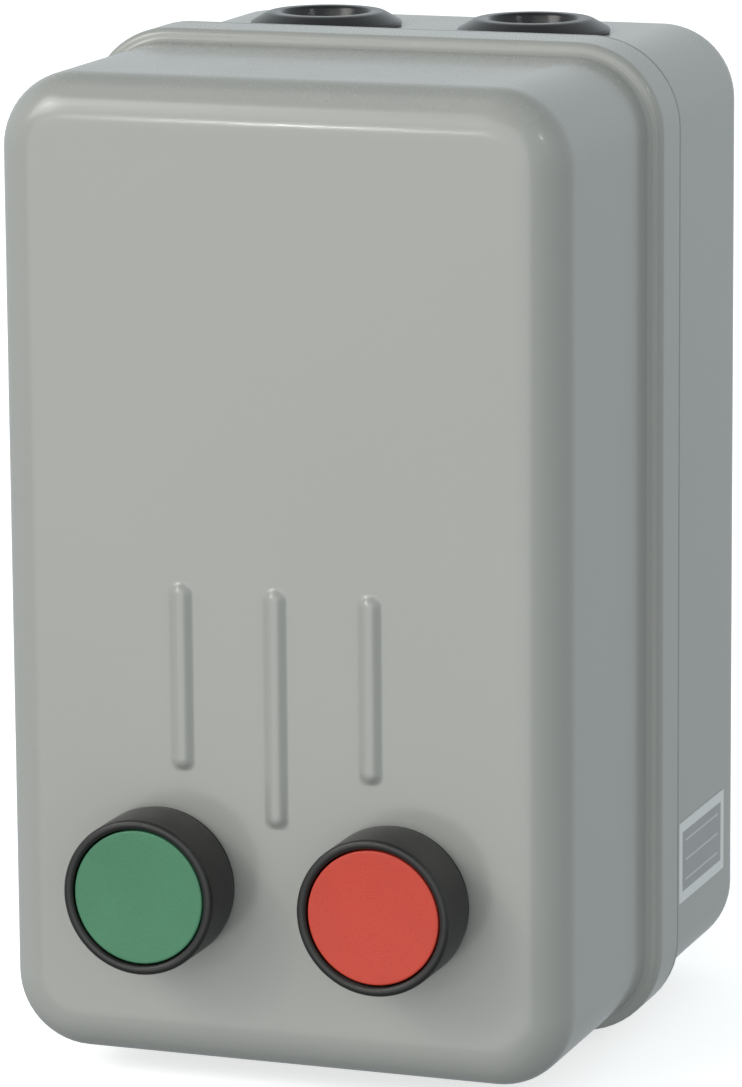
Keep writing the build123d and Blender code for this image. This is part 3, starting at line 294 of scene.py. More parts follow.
# --- Materials ---
class Finish:
    """A material being built: its tree and its Principled shader."""

    def __init__(self, name, colour, roughness=0.5, metallic=0.0, **constants):
        self.material = bpy.data.materials.new(name)
        self.material.use_nodes = True
        self.tree = self.material.node_tree
        self.shader = self.tree.nodes["Principled BSDF"]
        self.colour = (*colour, 1.0)
        self.shader.inputs["Base Color"].default_value = self.colour
        self.shader.inputs["Roughness"].default_value = roughness
        self.shader.inputs["Metallic"].default_value = metallic
        for key, value in constants.items():
            self.shader.inputs[key.replace("_", " ")].default_value = value

    def effect(self, name, **values):
        """An instance of a group with its own values; underscores in the names stand for spaces."""
        node = self.tree.nodes.new("ShaderNodeGroup")
        node.node_tree = bpy.data.node_groups[name]
        for key, value in values.items():
            node.inputs[key.replace("_", " ")].default_value = value
        return node.outputs[0]

    def patches(self, size):
        """A soft mask of broad patches, from 0 to 1."""
        return self.effect("Uneven Finish", Size=size, Low=0.0, High=1.0)

    def tint(self, mask, colour, share=1.0):
        """Mixes another colour over the base where the mask is high."""
        mix = self.tree.nodes.new("ShaderNodeMix")
        mix.data_type = "RGBA"
        base = self.shader.inputs["Base Color"]
        if base.is_linked:
            link(self.tree, base.links[0].from_socket, mix.inputs["A"])
        else:
            mix.inputs["A"].default_value = self.colour
        mix.inputs["B"].default_value = (*colour, 1.0)
        if share != 1.0:
            mask = math_node(self.tree, "MULTIPLY", mask, share)
        link(self.tree, mask, mix.inputs["Factor"])
        link(self.tree, mix.outputs["Result"], base)

    def vary_roughness(self, size, low, high, extra=None):
        """Lets the roughness wander between two values, with an extra mask added on top."""
        value = self.effect("Uneven Finish", Size=size, Low=low, High=high)
        if extra is not None:
            value = math_node(self.tree, "ADD", value, extra, clamp=True)
        link(self.tree, value, self.shader.inputs["Roughness"])

    def relief(self, height, depth_mm):
        """A bump, on top of any bump that is already there."""
        bump = self.tree.nodes.new("ShaderNodeBump")
        bump.inputs["Strength"].default_value = 1.0
        bump.inputs["Distance"].default_value = depth_mm * MM
        link(self.tree, height, bump.inputs["Height"])
        normal = self.shader.inputs["Normal"]
        if normal.is_linked:
            link(self.tree, normal.links[0].from_socket, bump.inputs["Normal"])
        link(self.tree, bump.outputs["Normal"], normal)


def shade(colour, factor):
    """A colour made lighter or darker."""
    return tuple(min(1.0, c * factor) for c in colour)


def enamel():
    """Grey gloss stoving enamel with a faint orange peel, specks and dust."""
    paint = tuple(settings().enclosure.paint)
    finish = Finish("grey_enamel", paint, Coat_Weight=0.35, Coat_Roughness=0.12, Specular_IOR_Level=0.5)
    finish.tint(finish.patches(9.0), shade(paint, 0.965))
    specks = ramp(finish.tree, noise_node(finish.tree, 1500.0, detail=2.0), 0.70, 0.76)
    finish.tint(specks, shade(paint, 0.84), 0.4)
    dust = finish.effect("Settled Dust", Amount=0.22)
    finish.tint(dust, (0.46, 0.45, 0.41))
    finish.vary_roughness(22.0, 0.20, 0.28, math_node(finish.tree, "MULTIPLY", dust, 0.5))
    finish.relief(finish.effect("Orange Peel", Peel_Size=260.0, Speck_Size=2400.0, Specks=0.08), 0.035)
    return finish.material


def black_rubber():
    """Glossy black rubber with a fine moulded grain and a little bloom."""
    finish = Finish("black_rubber", (0.007, 0.007, 0.0075), Specular_IOR_Level=0.5)
    finish.tint(finish.patches(110.0), (0.015, 0.015, 0.016))
    finish.tint(finish.effect("Settled Dust", Amount=0.10), (0.12, 0.12, 0.115))
    finish.vary_roughness(90.0, 0.16, 0.30)
    finish.relief(finish.effect("Orange Peel", Peel_Size=1400.0, Speck_Size=6000.0, Specks=0.5), 0.02)
    return finish.material


def moulding(name, colour, low=0.38, high=0.52, grain=0.025):
    """Moulded plastic: spark-eroded grain, slight flow marks and handling shine."""
    finish = Finish(name, colour, Specular_IOR_Level=0.5)
    finish.tint(finish.patches(55.0), shade(colour, 1.25), 0.6)
    finish.tint(finish.effect("Fine Scuffs", Scuffs_Size=500.0, Amount=0.4), shade(colour, 1.9), 0.6)
    finish.tint(finish.effect("Settled Dust", Amount=0.16), (0.40, 0.39, 0.37))
    finish.vary_roughness(70.0, low, high)
    finish.relief(finish.effect("Orange Peel", Peel_Size=2200.0, Speck_Size=7000.0, Specks=0.6), grain)
    return finish.material


def cap_plastic(name, colour, centre):
    """Satin coloured cap with faint turned rings about its centre and small scuffs."""
    finish = Finish(name, colour, Specular_IOR_Level=0.45)
    finish.tint(finish.patches(120.0), shade(colour, 1.16), 0.7)
    speck = ramp(finish.tree, noise_node(finish.tree, 2600.0, detail=1.0), 0.66, 0.74)
    finish.tint(speck, shade(colour, 0.70), 0.5)
    finish.tint(finish.effect("Fine Scuffs", Scuffs_Size=700.0, Amount=0.5), shade(colour, 1.45), 0.6)
    finish.vary_roughness(140.0, 0.42, 0.56)
    rings = finish.effect("Turned Rings", Ring_Pitch=16000.0, Centre_X=centre.x, Centre_Z=centre.z)
    finish.relief(rings, 0.004)
    finish.relief(finish.effect("Orange Peel", Peel_Size=1500.0, Speck_Size=6500.0, Specks=0.5), 0.018)
    return finish.material


def plated(name, colour, low=0.26, high=0.42):
    """Plated or bare metal with a directional grain and faint passivation colours."""
    finish = Finish(name, colour, metallic=1.0)
    finish.tint(finish.patches(80.0), shade(colour, 0.72), 0.8)
    warm = ramp(finish.tree, noise_node(finish.tree, 140.0, detail=2.0), 0.55, 0.75)
    finish.tint(warm, (colour[0], colour[1] * 0.93, colour[2] * 0.74), 0.5)
    finish.vary_roughness(160.0, low, high)
    finish.relief(finish.effect("Brushed Grain", Grain_Size=1600.0), 0.02)
    return finish.material


def striped(name, colour, gap_colour, axis, pitch_mm, metallic, share=0.5, depth_mm=0.05):
    """Parallel stripes across one axis, for a laminated core or a layer of wire."""
    finish = Finish(name, colour, roughness=0.4, metallic=metallic)
    turns = math_node(finish.tree, "MULTIPLY", axes_of(finish.tree)[axis], math.tau / (pitch_mm * MM))
    wave = math_node(finish.tree, "MULTIPLY_ADD", math_node(finish.tree, "SINE", turns), 0.5)
    wave.node.inputs[2].default_value = 0.5
    finish.tint(ramp(finish.tree, wave, share, share - 0.45), gap_colour)
    finish.vary_roughness(200.0, 0.30, 0.50)
    finish.relief(wave, depth_mm)
    return finish.material


def label_film():
    """White film with a grey panel and three ruled lines: no lettering."""
    low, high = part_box("side_label")
    middle = (low + high) / 2
    half_y = (high.y - low.y) / 2
    half_z = (high.z - low.z) / 2
    white = (0.78, 0.79, 0.78)
    finish = Finish("label_film", white, Specular_IOR_Level=0.5)
    tree = finish.tree
    axes = axes_of(tree)
    across = math_node(tree, "SUBTRACT", axes["Y"], middle.y)
    up = math_node(tree, "SUBTRACT", axes["Z"], middle.z)
    border = 1.9 * MM
    edge = 0.12 * MM

    def inside(value, half):
        return ramp(tree, math_node(tree, "ABSOLUTE", value), half + edge, half - edge)

    panel = math_node(tree, "MULTIPLY", inside(across, half_y - border), inside(up, half_z - border))
    finish.tint(panel, (0.36, 0.37, 0.365))
    for share in (-0.33, 0.0, 0.33):
        level = math_node(tree, "SUBTRACT", up, 2 * share * (half_z - border))
        rule = math_node(tree, "MULTIPLY", inside(level, 0.16 * MM), inside(across, half_y - 2 * border))
        finish.tint(rule, white, 0.6)
    finish.tint(finish.effect("Fine Scuffs", Scuffs_Size=500.0, Amount=0.5), (0.36, 0.40, 0.40), 0.5)
    finish.vary_roughness(120.0, 0.30, 0.45)
    finish.relief(finish.effect("Orange Peel", Peel_Size=900.0, Speck_Size=5000.0, Specks=0.3), 0.01)
    return finish.material


def pale_floor():
    """Plain studio floor, nearly white."""
    finish = Finish("studio_floor", (0.93, 0.93, 0.93), roughness=0.75, Emission_Strength=0.6)
    finish.shader.inputs["Emission Color"].default_value = (1.0, 1.0, 1.0, 1.0)
    finish.vary_roughness(3.0, 0.70, 0.80)
    return finish.material


# --- Mesh helpers ---
def mesh_object(bm, name):
    """Turns a bmesh into an object of the scene, at the origin."""
    mesh = bpy.data.meshes.new(name)
    bm.to_mesh(mesh)
    bm.free()
    made = bpy.data.objects.new(name, mesh)
    bpy.context.scene.collection.objects.link(made)
    return made


def finish_piece(bm, name, body, material, nodes=(), sharp_degrees=32.0):
    """Turns a bmesh into a finished piece that rides on a body and stands for its CAD nodes."""
    limit = math.radians(sharp_degrees)
    for face in bm.faces:
        face.smooth = True
    for edge in bm.edges:
        if len(edge.link_faces) == 2 and edge.calc_face_angle(0.0) > limit:
            edge.smooth = False
    piece = mesh_object(bm, name)
    piece.data.materials.append(material)
    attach(piece, body)
    if nodes:
        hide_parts(*nodes)
    return piece


def apply_modifiers(piece):
    """Bakes the piece's modifiers into its mesh."""
    bpy.context.view_layer.update()
    graph = bpy.context.evaluated_depsgraph_get()
    baked = bpy.data.meshes.new_from_object(piece.evaluated_get(graph), depsgraph=graph)
    piece.modifiers.clear()
    old = piece.data
    piece.data = baked
    bpy.data.meshes.remove(old)
    baked.name = piece.name


def rounded_loop(bm, half_x, half_z, radius, depth, segments=14):
    """Edges of a rounded rectangle that faces forward, with a point close to each corner's ends."""
    flat = Matrix.Rotation(math.pi / 2, 4, "X")
    bmesh.ops.create_grid(bm, x_segments=1, y_segments=1, size=1.0, matrix=flat)
    bmesh.ops.scale(bm, vec=(half_x, 1.0, half_z), verts=bm.verts)
    bmesh.ops.translate(bm, vec=(0.0, -depth, 0.0), verts=bm.verts)
    bmesh.ops.bevel(
        bm, geom=bm.verts[:], offset=radius, offset_type="OFFSET", segments=segments,
        profile=0.5, affect="VERTICES", material=-1, clamp_overlap=False,
    )
    bmesh.ops.delete(bm, geom=bm.faces[:], context="FACES_ONLY")
    for axis, half in (((1, 0, 0), half_x), ((0, 0, 1), half_z)):
        for side in (-1, 1):
            place = Vector(axis) * side * (half - radius - SUPPORT)
            bmesh.ops.bisect_plane(bm, geom=bm.verts[:] + bm.edges[:], plane_co=place, plane_no=axis)
    return bm.edges[:]


def draw_through(bm, edges, half_x, half_z, radius, stations):
    """Extrudes the loop through (outset, depth) stations and returns the last loop."""
    core_x = half_x - radius
    core_z = half_z - radius
    for outset, depth in stations:
        made = bmesh.ops.extrude_edge_only(bm, edges=edges)["geom"]
        verts = {g for g in made if isinstance(g, bmesh.types.BMVert)}
        edges = [g for g in made if isinstance(g, bmesh.types.BMEdge) and set(g.verts) <= verts]
        for vert in verts:
            nearest_x = max(-core_x, min(core_x, vert.co.x))
            nearest_z = max(-core_z, min(core_z, vert.co.z))
            centre = Vector((nearest_x, 0.0, nearest_z))
            outward = Vector((vert.co.x, 0.0, vert.co.z)) - centre
            vert.co = centre + outward.normalized() * (radius + outset)
            vert.co.y = -depth
    return edges


def quarter(start_outset, start_depth, radius, steps, out_sign, way):
    """Stations along a quarter circle, from a side wall to a face or, by way, from a face to a wall."""
    stations = []
    for i in range(1, steps + 1):
        angle = 0.5 * math.pi * i / steps
        near = 1 - math.cos(angle)
        far = math.sin(angle)
        if way == "side_to_face":
            stations.append((start_outset + out_sign * radius * near, start_depth + radius * far))
        else:
            stations.append((start_outset + out_sign * radius * far, start_depth + radius * near))
    return stations


def lathe(bm, profile, x, z, steps=96):
    """Turns a (radius, depth) profile about a line through (x, z) along the depth."""
    verts = [bm.verts.new((x + radius, -depth, z)) for radius, depth in profile]
    edges = [bm.edges.new(pair) for pair in zip(verts, verts[1:])]
    bmesh.ops.spin(
        bm, geom=verts + edges, cent=(x, 0.0, z), axis=(0.0, -1.0, 0.0), angle=math.tau,
        steps=steps, use_merge=True, use_duplicate=False,
    )
    bmesh.ops.remove_doubles(bm, verts=bm.verts, dist=1e-7)
    bmesh.ops.recalc_face_normals(bm, faces=bm.faces)


def soft_corner(profile, radius, steps=4):
    """Rounds every corner of an open (radius, depth) profile by up to the given radius."""
    rounded = [profile[0]]
    for before, corner, after in zip(profile, profile[1:], profile[2:]):
        corner_point = Vector(corner)
        into = Vector(before) - corner_point
        out = Vector(after) - corner_point
        reach = min(radius, 0.45 * into.length, 0.45 * out.length)
        first = corner_point + into.normalized() * reach
        last = corner_point + out.normalized() * reach
        for i in range(steps + 1):
            share = i / steps
            left = first.lerp(corner_point, share)
            right = corner_point.lerp(last, share)
            rounded.append(tuple(left.lerp(right, share)))
    rounded.append(profile[-1])
    return rounded


def helix(name, x, z, back, front, radius, wire, turns, material, body, node, per_turn=28):
    """A coil spring along the depth: a circle of wire carried round its axis by a screw spin."""
    bm = bmesh.new()
    tilt = Matrix.Rotation(math.radians(3), 4, "X")
    across = Matrix.Translation((x + radius - wire, -back - wire, z)) @ tilt
    bmesh.ops.create_circle(bm, cap_ends=False, segments=10, radius=wire, matrix=across)
    steps = int(turns * per_turn)
    rise = (front - back - 2 * wire) / steps
    profile = bm.verts[:] + bm.edges[:]
    bmesh.ops.spin(
        bm, geom=profile, cent=(x, 0.0, z), axis=(0.0, -1.0, 0.0), dvec=(0.0, -rise, 0.0),
        angle=math.tau * turns, steps=steps, use_merge=False, use_duplicate=False,
    )
    rims = [e for e in bm.edges if e.is_boundary]
    bmesh.ops.holes_fill(bm, edges=rims)
    bmesh.ops.recalc_face_normals(bm, faces=bm.faces)
    return finish_piece(bm, name, body, material, nodes=(node,))


# --- Enclosure pieces ---
def rib_height(x, z, ribs, half_width, rise):
    """How far the panel stands out at (x, z): each rib is a rounded ridge with a soft foot."""
    height = 0.0
    for centre_x, top, bottom in ribs:
        end = min(max(z, bottom + half_width), top - half_width)
        distance = math.hypot(x - centre_x, z - end) / half_width
        if distance < 1.0:
            height = max(height, rise * (0.5 + 0.5 * math.cos(math.pi * distance ** 1.5)))
    return height


def build_cover(materials):
    """The deep-drawn cover: flared rim, rounded front edges, three embossed ribs, holes and notch."""
    made = settings().enclosure
    low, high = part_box("cover_shell")
    half_x = (high.x - low.x) / 2 - made.rim_step
    half_z = (high.z - low.z) / 2 - made.rim_step
    rim_back = -high.y
    rim_front = rim_back + made.rim_depth
    front_depth = -low.y - made.rib_raise
    fillet_start = front_depth - made.front_fillet
    roll_start = rim_front - made.rim_roll
    bm = bmesh.new()
    step = made.rim_step
    loop = rounded_loop(bm, half_x + step, half_z + step, made.corner + step, rim_back)
    stations = [(step, rim_back + SUPPORT), (step, roll_start - SUPPORT), (step, roll_start)]
    stations += quarter(step, roll_start, made.rim_roll, 6, -1, "side_to_face")
    stations.append((made.rim_flare, rim_front))
    stations += quarter(made.rim_flare, rim_front, made.rim_flare, 6, -1, "face_to_side")
    stations.append((0.0, rim_front + made.rim_flare + SUPPORT))
    stations += [(0.0, fillet_start - SUPPORT), (0.0, fillet_start)]
    stations += quarter(0.0, fillet_start, made.front_fillet, 12, -1, "side_to_face")
    stations.append((-made.front_fillet - SUPPORT, front_depth))
    loop = draw_through(bm, loop, half_x, half_z, made.corner, stations)
    panel = bmesh.ops.contextual_create(bm, geom=loop)["faces"]
    ribs = []
    for index, length in zip((-1, 0, 1), RIB_LENGTHS):
        ribs.append((index * made.rib_spacing, 0.0, -length))
    half_width = made.rib_width / 2
    cuts = []
    step = half_width / 6
    for centre_x, _, _ in ribs:
        cuts += [((centre_x + i * step, 0, 0), (1, 0, 0)) for i in range(-6, 7)]
    ends = sorted({bottom for _, _, bottom in ribs})
    for end in ends + [-2 * half_width]:
        cuts += [((0, 0, end + i * step), (0, 0, 1)) for i in range(0, 13)]
    for place, normal in cuts:
        faces = [f for f in panel if f.is_valid]
        geom = set(faces)
        for face in faces:
            geom.update(face.edges)
            geom.update(face.verts)
        result = bmesh.ops.bisect_plane(bm, geom=list(geom), plane_co=place, plane_no=normal, dist=1e-7)
        panel = [g for g in result["geom"] if isinstance(g, bmesh.types.BMFace)]
    for vert in {v for f in panel if f.is_valid for v in f.verts}:
        vert.co.y -= rib_height(vert.co.x, vert.co.z, ribs, half_width, made.rib_raise)
    orient_outwards(bm, Vector((0.0, -1.0, 0.0)), front_depth)
    piece = finish_piece(bm, "cover_shell_skin", "cover", materials["enamel"], ("cover_shell",), 60.0)
    thicken(piece, made.sheet)
    cutter = bmesh.new()
    for node in ("start_bezel", "stop_bezel"):
        button_low, button_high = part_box(node)
        middle = (button_low + button_high) / 2
        add_rod(cutter, (middle.x, -front_depth, middle.z), "Y", PANEL_HOLE_RADIUS, 8 * MM)
    notch = screw_spot()
    add_rod(cutter, (0.0, notch, low.z), "Z", SCREW_HOLE_RADIUS, 4 * MM)
    cut_with(piece, cutter)
    cutter = bmesh.new()
    length = -notch - rim_back + 2 * MM
    place = Matrix.Translation((0.0, notch + length / 2, low.z))
    size = Matrix.Diagonal((2 * SCREW_HOLE_RADIUS, length, 4 * MM, 1.0))
    bmesh.ops.create_cube(cutter, size=1.0, matrix=place @ size)
    cut_with(piece, cutter)
    soften(piece, CUT_ROUND)


def screw_spot():
    """The y of the cover screw's axis."""
    low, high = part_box("cover_screw")
    return (low.y + high.y) / 2


def orient_outwards(bm, outward, depth):
    """Makes the faces of an open shell point outwards, judged by the face that closes it."""
    bmesh.ops.recalc_face_normals(bm, faces=bm.faces)
    flat = max(bm.faces, key=lambda f: min(f.calc_area(), 1e-3) - abs(-f.calc_center_median().y - depth))
    if flat.normal.dot(outward) < 0:
        bmesh.ops.reverse_faces(bm, faces=bm.faces)


def thicken(piece, sheet):
    """Gives an open shell the thickness of its sheet, inwards."""
    solid = piece.modifiers.new("sheet", "SOLIDIFY")
    solid.thickness = sheet
    solid.offset = -1.0
    solid.use_even_offset = True
    apply_modifiers(piece)


def combine(piece, tool_bm, operation):
    """Takes a closed shape out of a piece, or joins it on."""
    tool = mesh_object(tool_bm, "tool")
    mesh = tool.data
    change = piece.modifiers.new("change", "BOOLEAN")
    change.operation = operation
    change.solver = "EXACT"
    change.object = tool
    apply_modifiers(piece)
    bpy.data.objects.remove(tool)
    bpy.data.meshes.remove(mesh)


def cut_with(piece, cutter_bm):
    """Takes a closed cutter shape out of a piece."""
    combine(piece, cutter_bm, "DIFFERENCE")


def add_rod(bm, centre, axis, radius, length, segments=64):
    """A round rod along one axis, to cut with."""
    turn = Matrix.Rotation(math.pi / 2, 4, "X") if axis == "Y" else Matrix.Identity(4)
    bmesh.ops.create_cone(
        bm, cap_ends=True, segments=segments, radius1=radius, radius2=radius, depth=length,
        matrix=Matrix.Translation(centre) @ turn,
    )


def soften(piece, width):
    """Small rounds on every cut edge, and normals that keep the flat faces flat."""
    bevel = piece.modifiers.new("round", "BEVEL")
    bevel.width = width
    bevel.segments = 2
    bevel.limit_method = "ANGLE"
    bevel.angle_limit = math.radians(55)
    normals = piece.modifiers.new("normals", "WEIGHTED_NORMAL")
    normals.weight = 80
    normals.keep_sharp = False
    for polygon in piece.data.polygons:
        polygon.use_smooth = True
    apply_modifiers(piece)


def build_rear_box(materials):
    """The drawn back box with its stop flange, wall holes, cable entries and the cover screw's hole."""
    made = settings().enclosure
    low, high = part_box("rear_box")
    half_x = (high.x - low.x) / 2 - made.rim_step
    half_z = (high.z - low.z) / 2 - made.rim_step
    front = -low.y
    bm = bmesh.new()
    inset = made.back_fillet + SUPPORT
    loop = rounded_loop(bm, half_x - inset, half_z - inset, made.corner - inset, 0.0)
    bmesh.ops.contextual_create(bm, geom=loop)
    stations = [(-made.back_fillet, 0.0)]
    stations += quarter(-made.back_fillet, 0.0, made.back_fillet, 12, 1, "face_to_side")
    stations += [(0.0, made.back_fillet + SUPPORT), (0.0, front - SUPPORT), (0.0, front)]
    draw_through(bm, loop, half_x, half_z, made.corner, stations)
    orient_outwards(bm, Vector((0.0, 1.0, 0.0)), 0.0)
    piece = finish_piece(bm, "rear_box_skin", "root", materials["enamel"], ("rear_box",), 60.0)
    thicken(piece, made.sheet)

    seam = -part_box("cover_shell")[1].y - SEAM_GAP
    flange_back = seam - made.sheet
    edge = 0.45 * MM
    root = -0.6 * MM
    ring = bmesh.new()
    first = rounded_loop(ring, half_x + root, half_z + root, made.corner + root, flange_back)
    stations = [(made.rim_step - edge, flange_back)]
    stations += quarter(made.rim_step - edge, flange_back, edge, 4, 1, "face_to_side")
    stations.append((made.rim_step, seam - edge))
    stations += quarter(made.rim_step, seam - edge, edge, 4, -1, "side_to_face")
    stations.append((root, seam))
    last = draw_through(ring, first, half_x, half_z, made.corner, stations)
    bmesh.ops.bridge_loops(ring, edges=first + last)
    bmesh.ops.recalc_face_normals(ring, faces=ring.faces)
    combine(piece, ring, "UNION")

    cutter = bmesh.new()
    for x in (-WALL_HOLE_X, WALL_HOLE_X):
        for z in (-WALL_HOLE_Z, WALL_HOLE_Z):
            add_rod(cutter, (x, 0.0, z), "Y", WALL_HOLE_RADIUS, 6 * MM, 40)
    for x in (-ENTRY_X, ENTRY_X):
        for z in (-half_z, half_z):
            add_rod(cutter, (x, -ENTRY_FROM_WALL, z), "Z", ENTRY_RADIUS, 8 * MM)
    add_rod(cutter, (0.0, screw_spot(), -half_z), "Z", SCREW_HOLE_RADIUS, 4 * MM, 40)
    cut_with(piece, cutter)
    soften(piece, CUT_ROUND)


# --- Buttons, grommets and springs ---
def build_button(kind, materials):
    """One push button: turned bezel, dished cap and coil return spring."""
    low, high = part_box(f"{kind}_bezel")
    x = (low.x + high.x) / 2
    z = (low.z + high.z) / 2
    outer = (high.x - low.x) / 2
    front = -low.y
    back = -high.y
    cap_low, cap_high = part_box(f"{kind}_cap")
    cap_radius = (cap_high.x - cap_low.x) / 2
    cap_front = -cap_low.y
    cap_back = -cap_high.y
    seal_low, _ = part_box("button_seals")
    flange = -seal_low.y
    mouth = cap_radius + 0.25 * MM
    shoulder = cap_back - 4.4 * MM
    bore = 9.1 * MM
    stem_hole = 3.1 * MM
    seat = back + 1.5 * MM
    outline = [
        (stem_hole, back), (THREAD_RADIUS, back), (THREAD_RADIUS, flange), (outer, flange),
        (outer, front), (mouth, front), (mouth, shoulder), (bore, shoulder),
        (bore, seat), (stem_hole, seat), (stem_hole, back),
    ]
    bm = bmesh.new()
    lathe(bm, soft_corner(outline, 0.75 * MM), x, z)
    bezel = finish_piece(bm, f"{kind}_bezel_turned", "cover", materials["bezel"], (f"{kind}_bezel",))

    dish = 0.25 * MM
    skin = [(0.0, cap_front - dish)]
    for i in range(1, 9):
        share = i / 9
        skin.append((share * (cap_radius - 0.8 * MM), cap_front - dish * (1 - share ** 2)))
    skin += [(cap_radius - 0.7 * MM, cap_front), (cap_radius, cap_front)]
    skin += [(cap_radius, cap_back), (0.0, cap_back)]
    bm = bmesh.new()
    lathe(bm, soft_corner(skin, 0.55 * MM), x, z)
    colour = materials[f"{kind}_cap"]
    cap = finish_piece(bm, f"{kind}_cap_moulded", f"{kind}_button", colour, (f"{kind}_cap",))

    low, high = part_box(f"{kind}_return_spring")
    spring = helix(
        f"{kind}_return_coil", x, z, -high.y, -low.y, (high.x - low.x) / 2, 0.5 * MM, 5,
        materials["spring"], "cover", f"{kind}_return_spring",
    )
    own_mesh(spring)


def build_grommets(node, materials):
    """The two rubber grommets of one end: rolled flange, stepped membrane with a raised centre."""
    low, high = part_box(node)
    side = 1 if high.z > 0 else -1
    wall = side * (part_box("rear_box")[1].z - settings().enclosure.rim_step)
    outer = (high.y - low.y) / 2
    middle_y = (low.y + high.y) / 2
    spacing = (high.x - low.x) - 2 * outer
    stand = (high.z - wall) if side > 0 else (wall - low.z)
    sheet = settings().enclosure.sheet
    profile = [
        (0.0, -0.2 * MM), (2.2 * MM, -0.2 * MM), (2.6 * MM, -0.9 * MM), (4.6 * MM, -0.9 * MM),
        (5.0 * MM, -0.3 * MM), (6.6 * MM, -0.3 * MM), (7.2 * MM, 0.6 * MM), (7.8 * MM, stand),
        (10.2 * MM, stand), (outer, 0.30 * stand), (outer, 0.0), (10.9 * MM, 0.0),
        (10.9 * MM, -sheet), (12.2 * MM, -sheet), (12.0 * MM, -sheet - 1.6 * MM),
        (8.4 * MM, -sheet - 1.6 * MM), (7.4 * MM, -1.9 * MM), (0.0, -1.9 * MM),
    ]
    pair = bmesh.new()
    for x in (-spacing / 2, spacing / 2):
        one = bmesh.new()
        lathe(one, soft_corner(profile, 0.6 * MM), 0.0, 0.0, steps=72)
        upright = Matrix.Rotation(-side * math.pi / 2, 4, "X")
        bmesh.ops.transform(one, matrix=Matrix.Translation((x, middle_y, wall)) @ upright, verts=one.verts)
        mesh = bpy.data.meshes.new("grommet")
        one.to_mesh(mesh)
        one.free()
        pair.from_mesh(mesh)
        bpy.data.meshes.remove(mesh)
    bmesh.ops.recalc_face_normals(pair, faces=pair.faces)
    piece = finish_piece(pair, f"{node}_moulded", "root", materials["rubber"], (node,))


def build_small_springs(materials):
    """Coil springs of the armature, the contact bridges and the start contact."""
    kinds = (
        ("armature_springs", "root", 7, 0.35 * MM, "armature_pull", ARMATURE_TRAVEL),
        ("start_switch_spring", "root", 5, 0.3 * MM, "start_contact_press", BUTTON_TRAVEL),
        ("contact_springs", "armature", 5, 0.25 * MM, None, 0.0),
    )
    for node, body, turns, wire, joint, travel in kinds:
        islands = node_centres(node)
        low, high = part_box(node)
        radius = (high.z - low.z) / 2
        for number, x in enumerate(islands, 1):
            name = f"{node}_coil_{number}"
            z = (low.z + high.z) / 2
            metal = materials["spring"]
            spring = helix(name, x, z, -high.y, -low.y, radius, wire, turns, metal, body, node, 18)
            if joint:
                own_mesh(spring)


def node_centres(node):
    """The x of each separate round solid in a CAD node."""
    low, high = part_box(node)
    radius = (high.z - low.z) / 2
    xs = sorted(v.co.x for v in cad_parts[node].data.vertices)
    centres = []
    start = xs[0]
    last = xs[0]
    for x in xs[1:] + [xs[-1] + 1.0]:
        if x - last > radius / 2:
            centres.append((start + last) / 2)
            start = x
        last = x
    return centres


# --- Finishes of the CAD nodes ---
def make_materials():
    """Every material of the object, by a short name."""
    buttons = settings().buttons
    start_middle, stop_middle = (sum(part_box(f"{kind}_cap"), Vector()) / 2 for kind in ("start", "stop"))
    return {
        "enamel": enamel(),
        "rubber": black_rubber(),
        "bezel": moulding("bezel_black", tuple(buttons.bezel_colour), 0.30, 0.44, 0.012),
        "start_cap": cap_plastic("start_green", tuple(buttons.start_colour), start_middle),
        "stop_cap": cap_plastic("stop_red", tuple(buttons.stop_colour), stop_middle),
        "label": label_film(),
        "zinc": plated("bright_zinc", (0.62, 0.63, 0.62)),
        "brass": plated("drawn_brass", (0.72, 0.52, 0.22)),
        "spring": plated("spring_wire", (0.55, 0.56, 0.58), 0.22, 0.34),
        "ivory": moulding("ivory_moulding", (0.52, 0.49, 0.40), 0.42, 0.58),
        "black": moulding("black_moulding", (0.022, 0.022, 0.023), 0.40, 0.56),
        "grey": moulding("grey_moulding", (0.19, 0.20, 0.20), 0.42, 0.58),
        "nylon": moulding("white_nylon", (0.66, 0.66, 0.63), 0.35, 0.50),
        "blue": moulding("blue_moulding", (0.015, 0.07, 0.28), 0.32, 0.46),
        "insulation": moulding("red_insulation", (0.36, 0.02, 0.012), 0.30, 0.42, 0.006),
        "laminations": striped("laminated_core", (0.34, 0.34, 0.35), (0.10, 0.10, 0.11), "X", 0.7, 1.0),
        "winding": striped("copper_winding", (0.62, 0.24, 0.09), (0.16, 0.05, 0.02), "Y", 0.45, 0.9),
    }


NODE_FINISHES = {
    "enamel": "cover_tongues",
    "rubber": "cover_gasket button_seals",
    "label": "side_label",
    "zinc": "mounting_plate plate_standoffs plate_screws contactor_terminal_screws relay_terminal_screws "
    "start_switch_screws start_switch_bracket coil_terminals cover_screw cover_weld_nut lock_nuts",
    "brass": "earth_stud line_contacts load_contacts relay_prongs relay_load_strips start_switch_contacts "
    "contact_bridges start_switch_bridge",
    "spring": "bimetal_strips start_retaining_clip stop_retaining_clip",
    "ivory": "contactor_base contactor_housing",
    "black": "contactor_front_cover relay_housing contact_carrier start_switch_housing coil_bobbin",
    "grey": "relay_front_cover",
    "nylon": "start_plunger stop_plunger start_switch_plunger trip_slider current_dial",
    "blue": "reset_button",
    "insulation": "coil_lead hold_lead",
    "laminations": "fixed_core moving_core",
    "winding": "coil_winding",
}


def paint_nodes(materials):
    """Gives each CAD node that stays visible its own finish."""
    for finish, names in NODE_FINISHES.items():
        for name in names.split():
            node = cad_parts[name]
            node.data.materials.clear()
            node.data.materials.append(materials[finish])


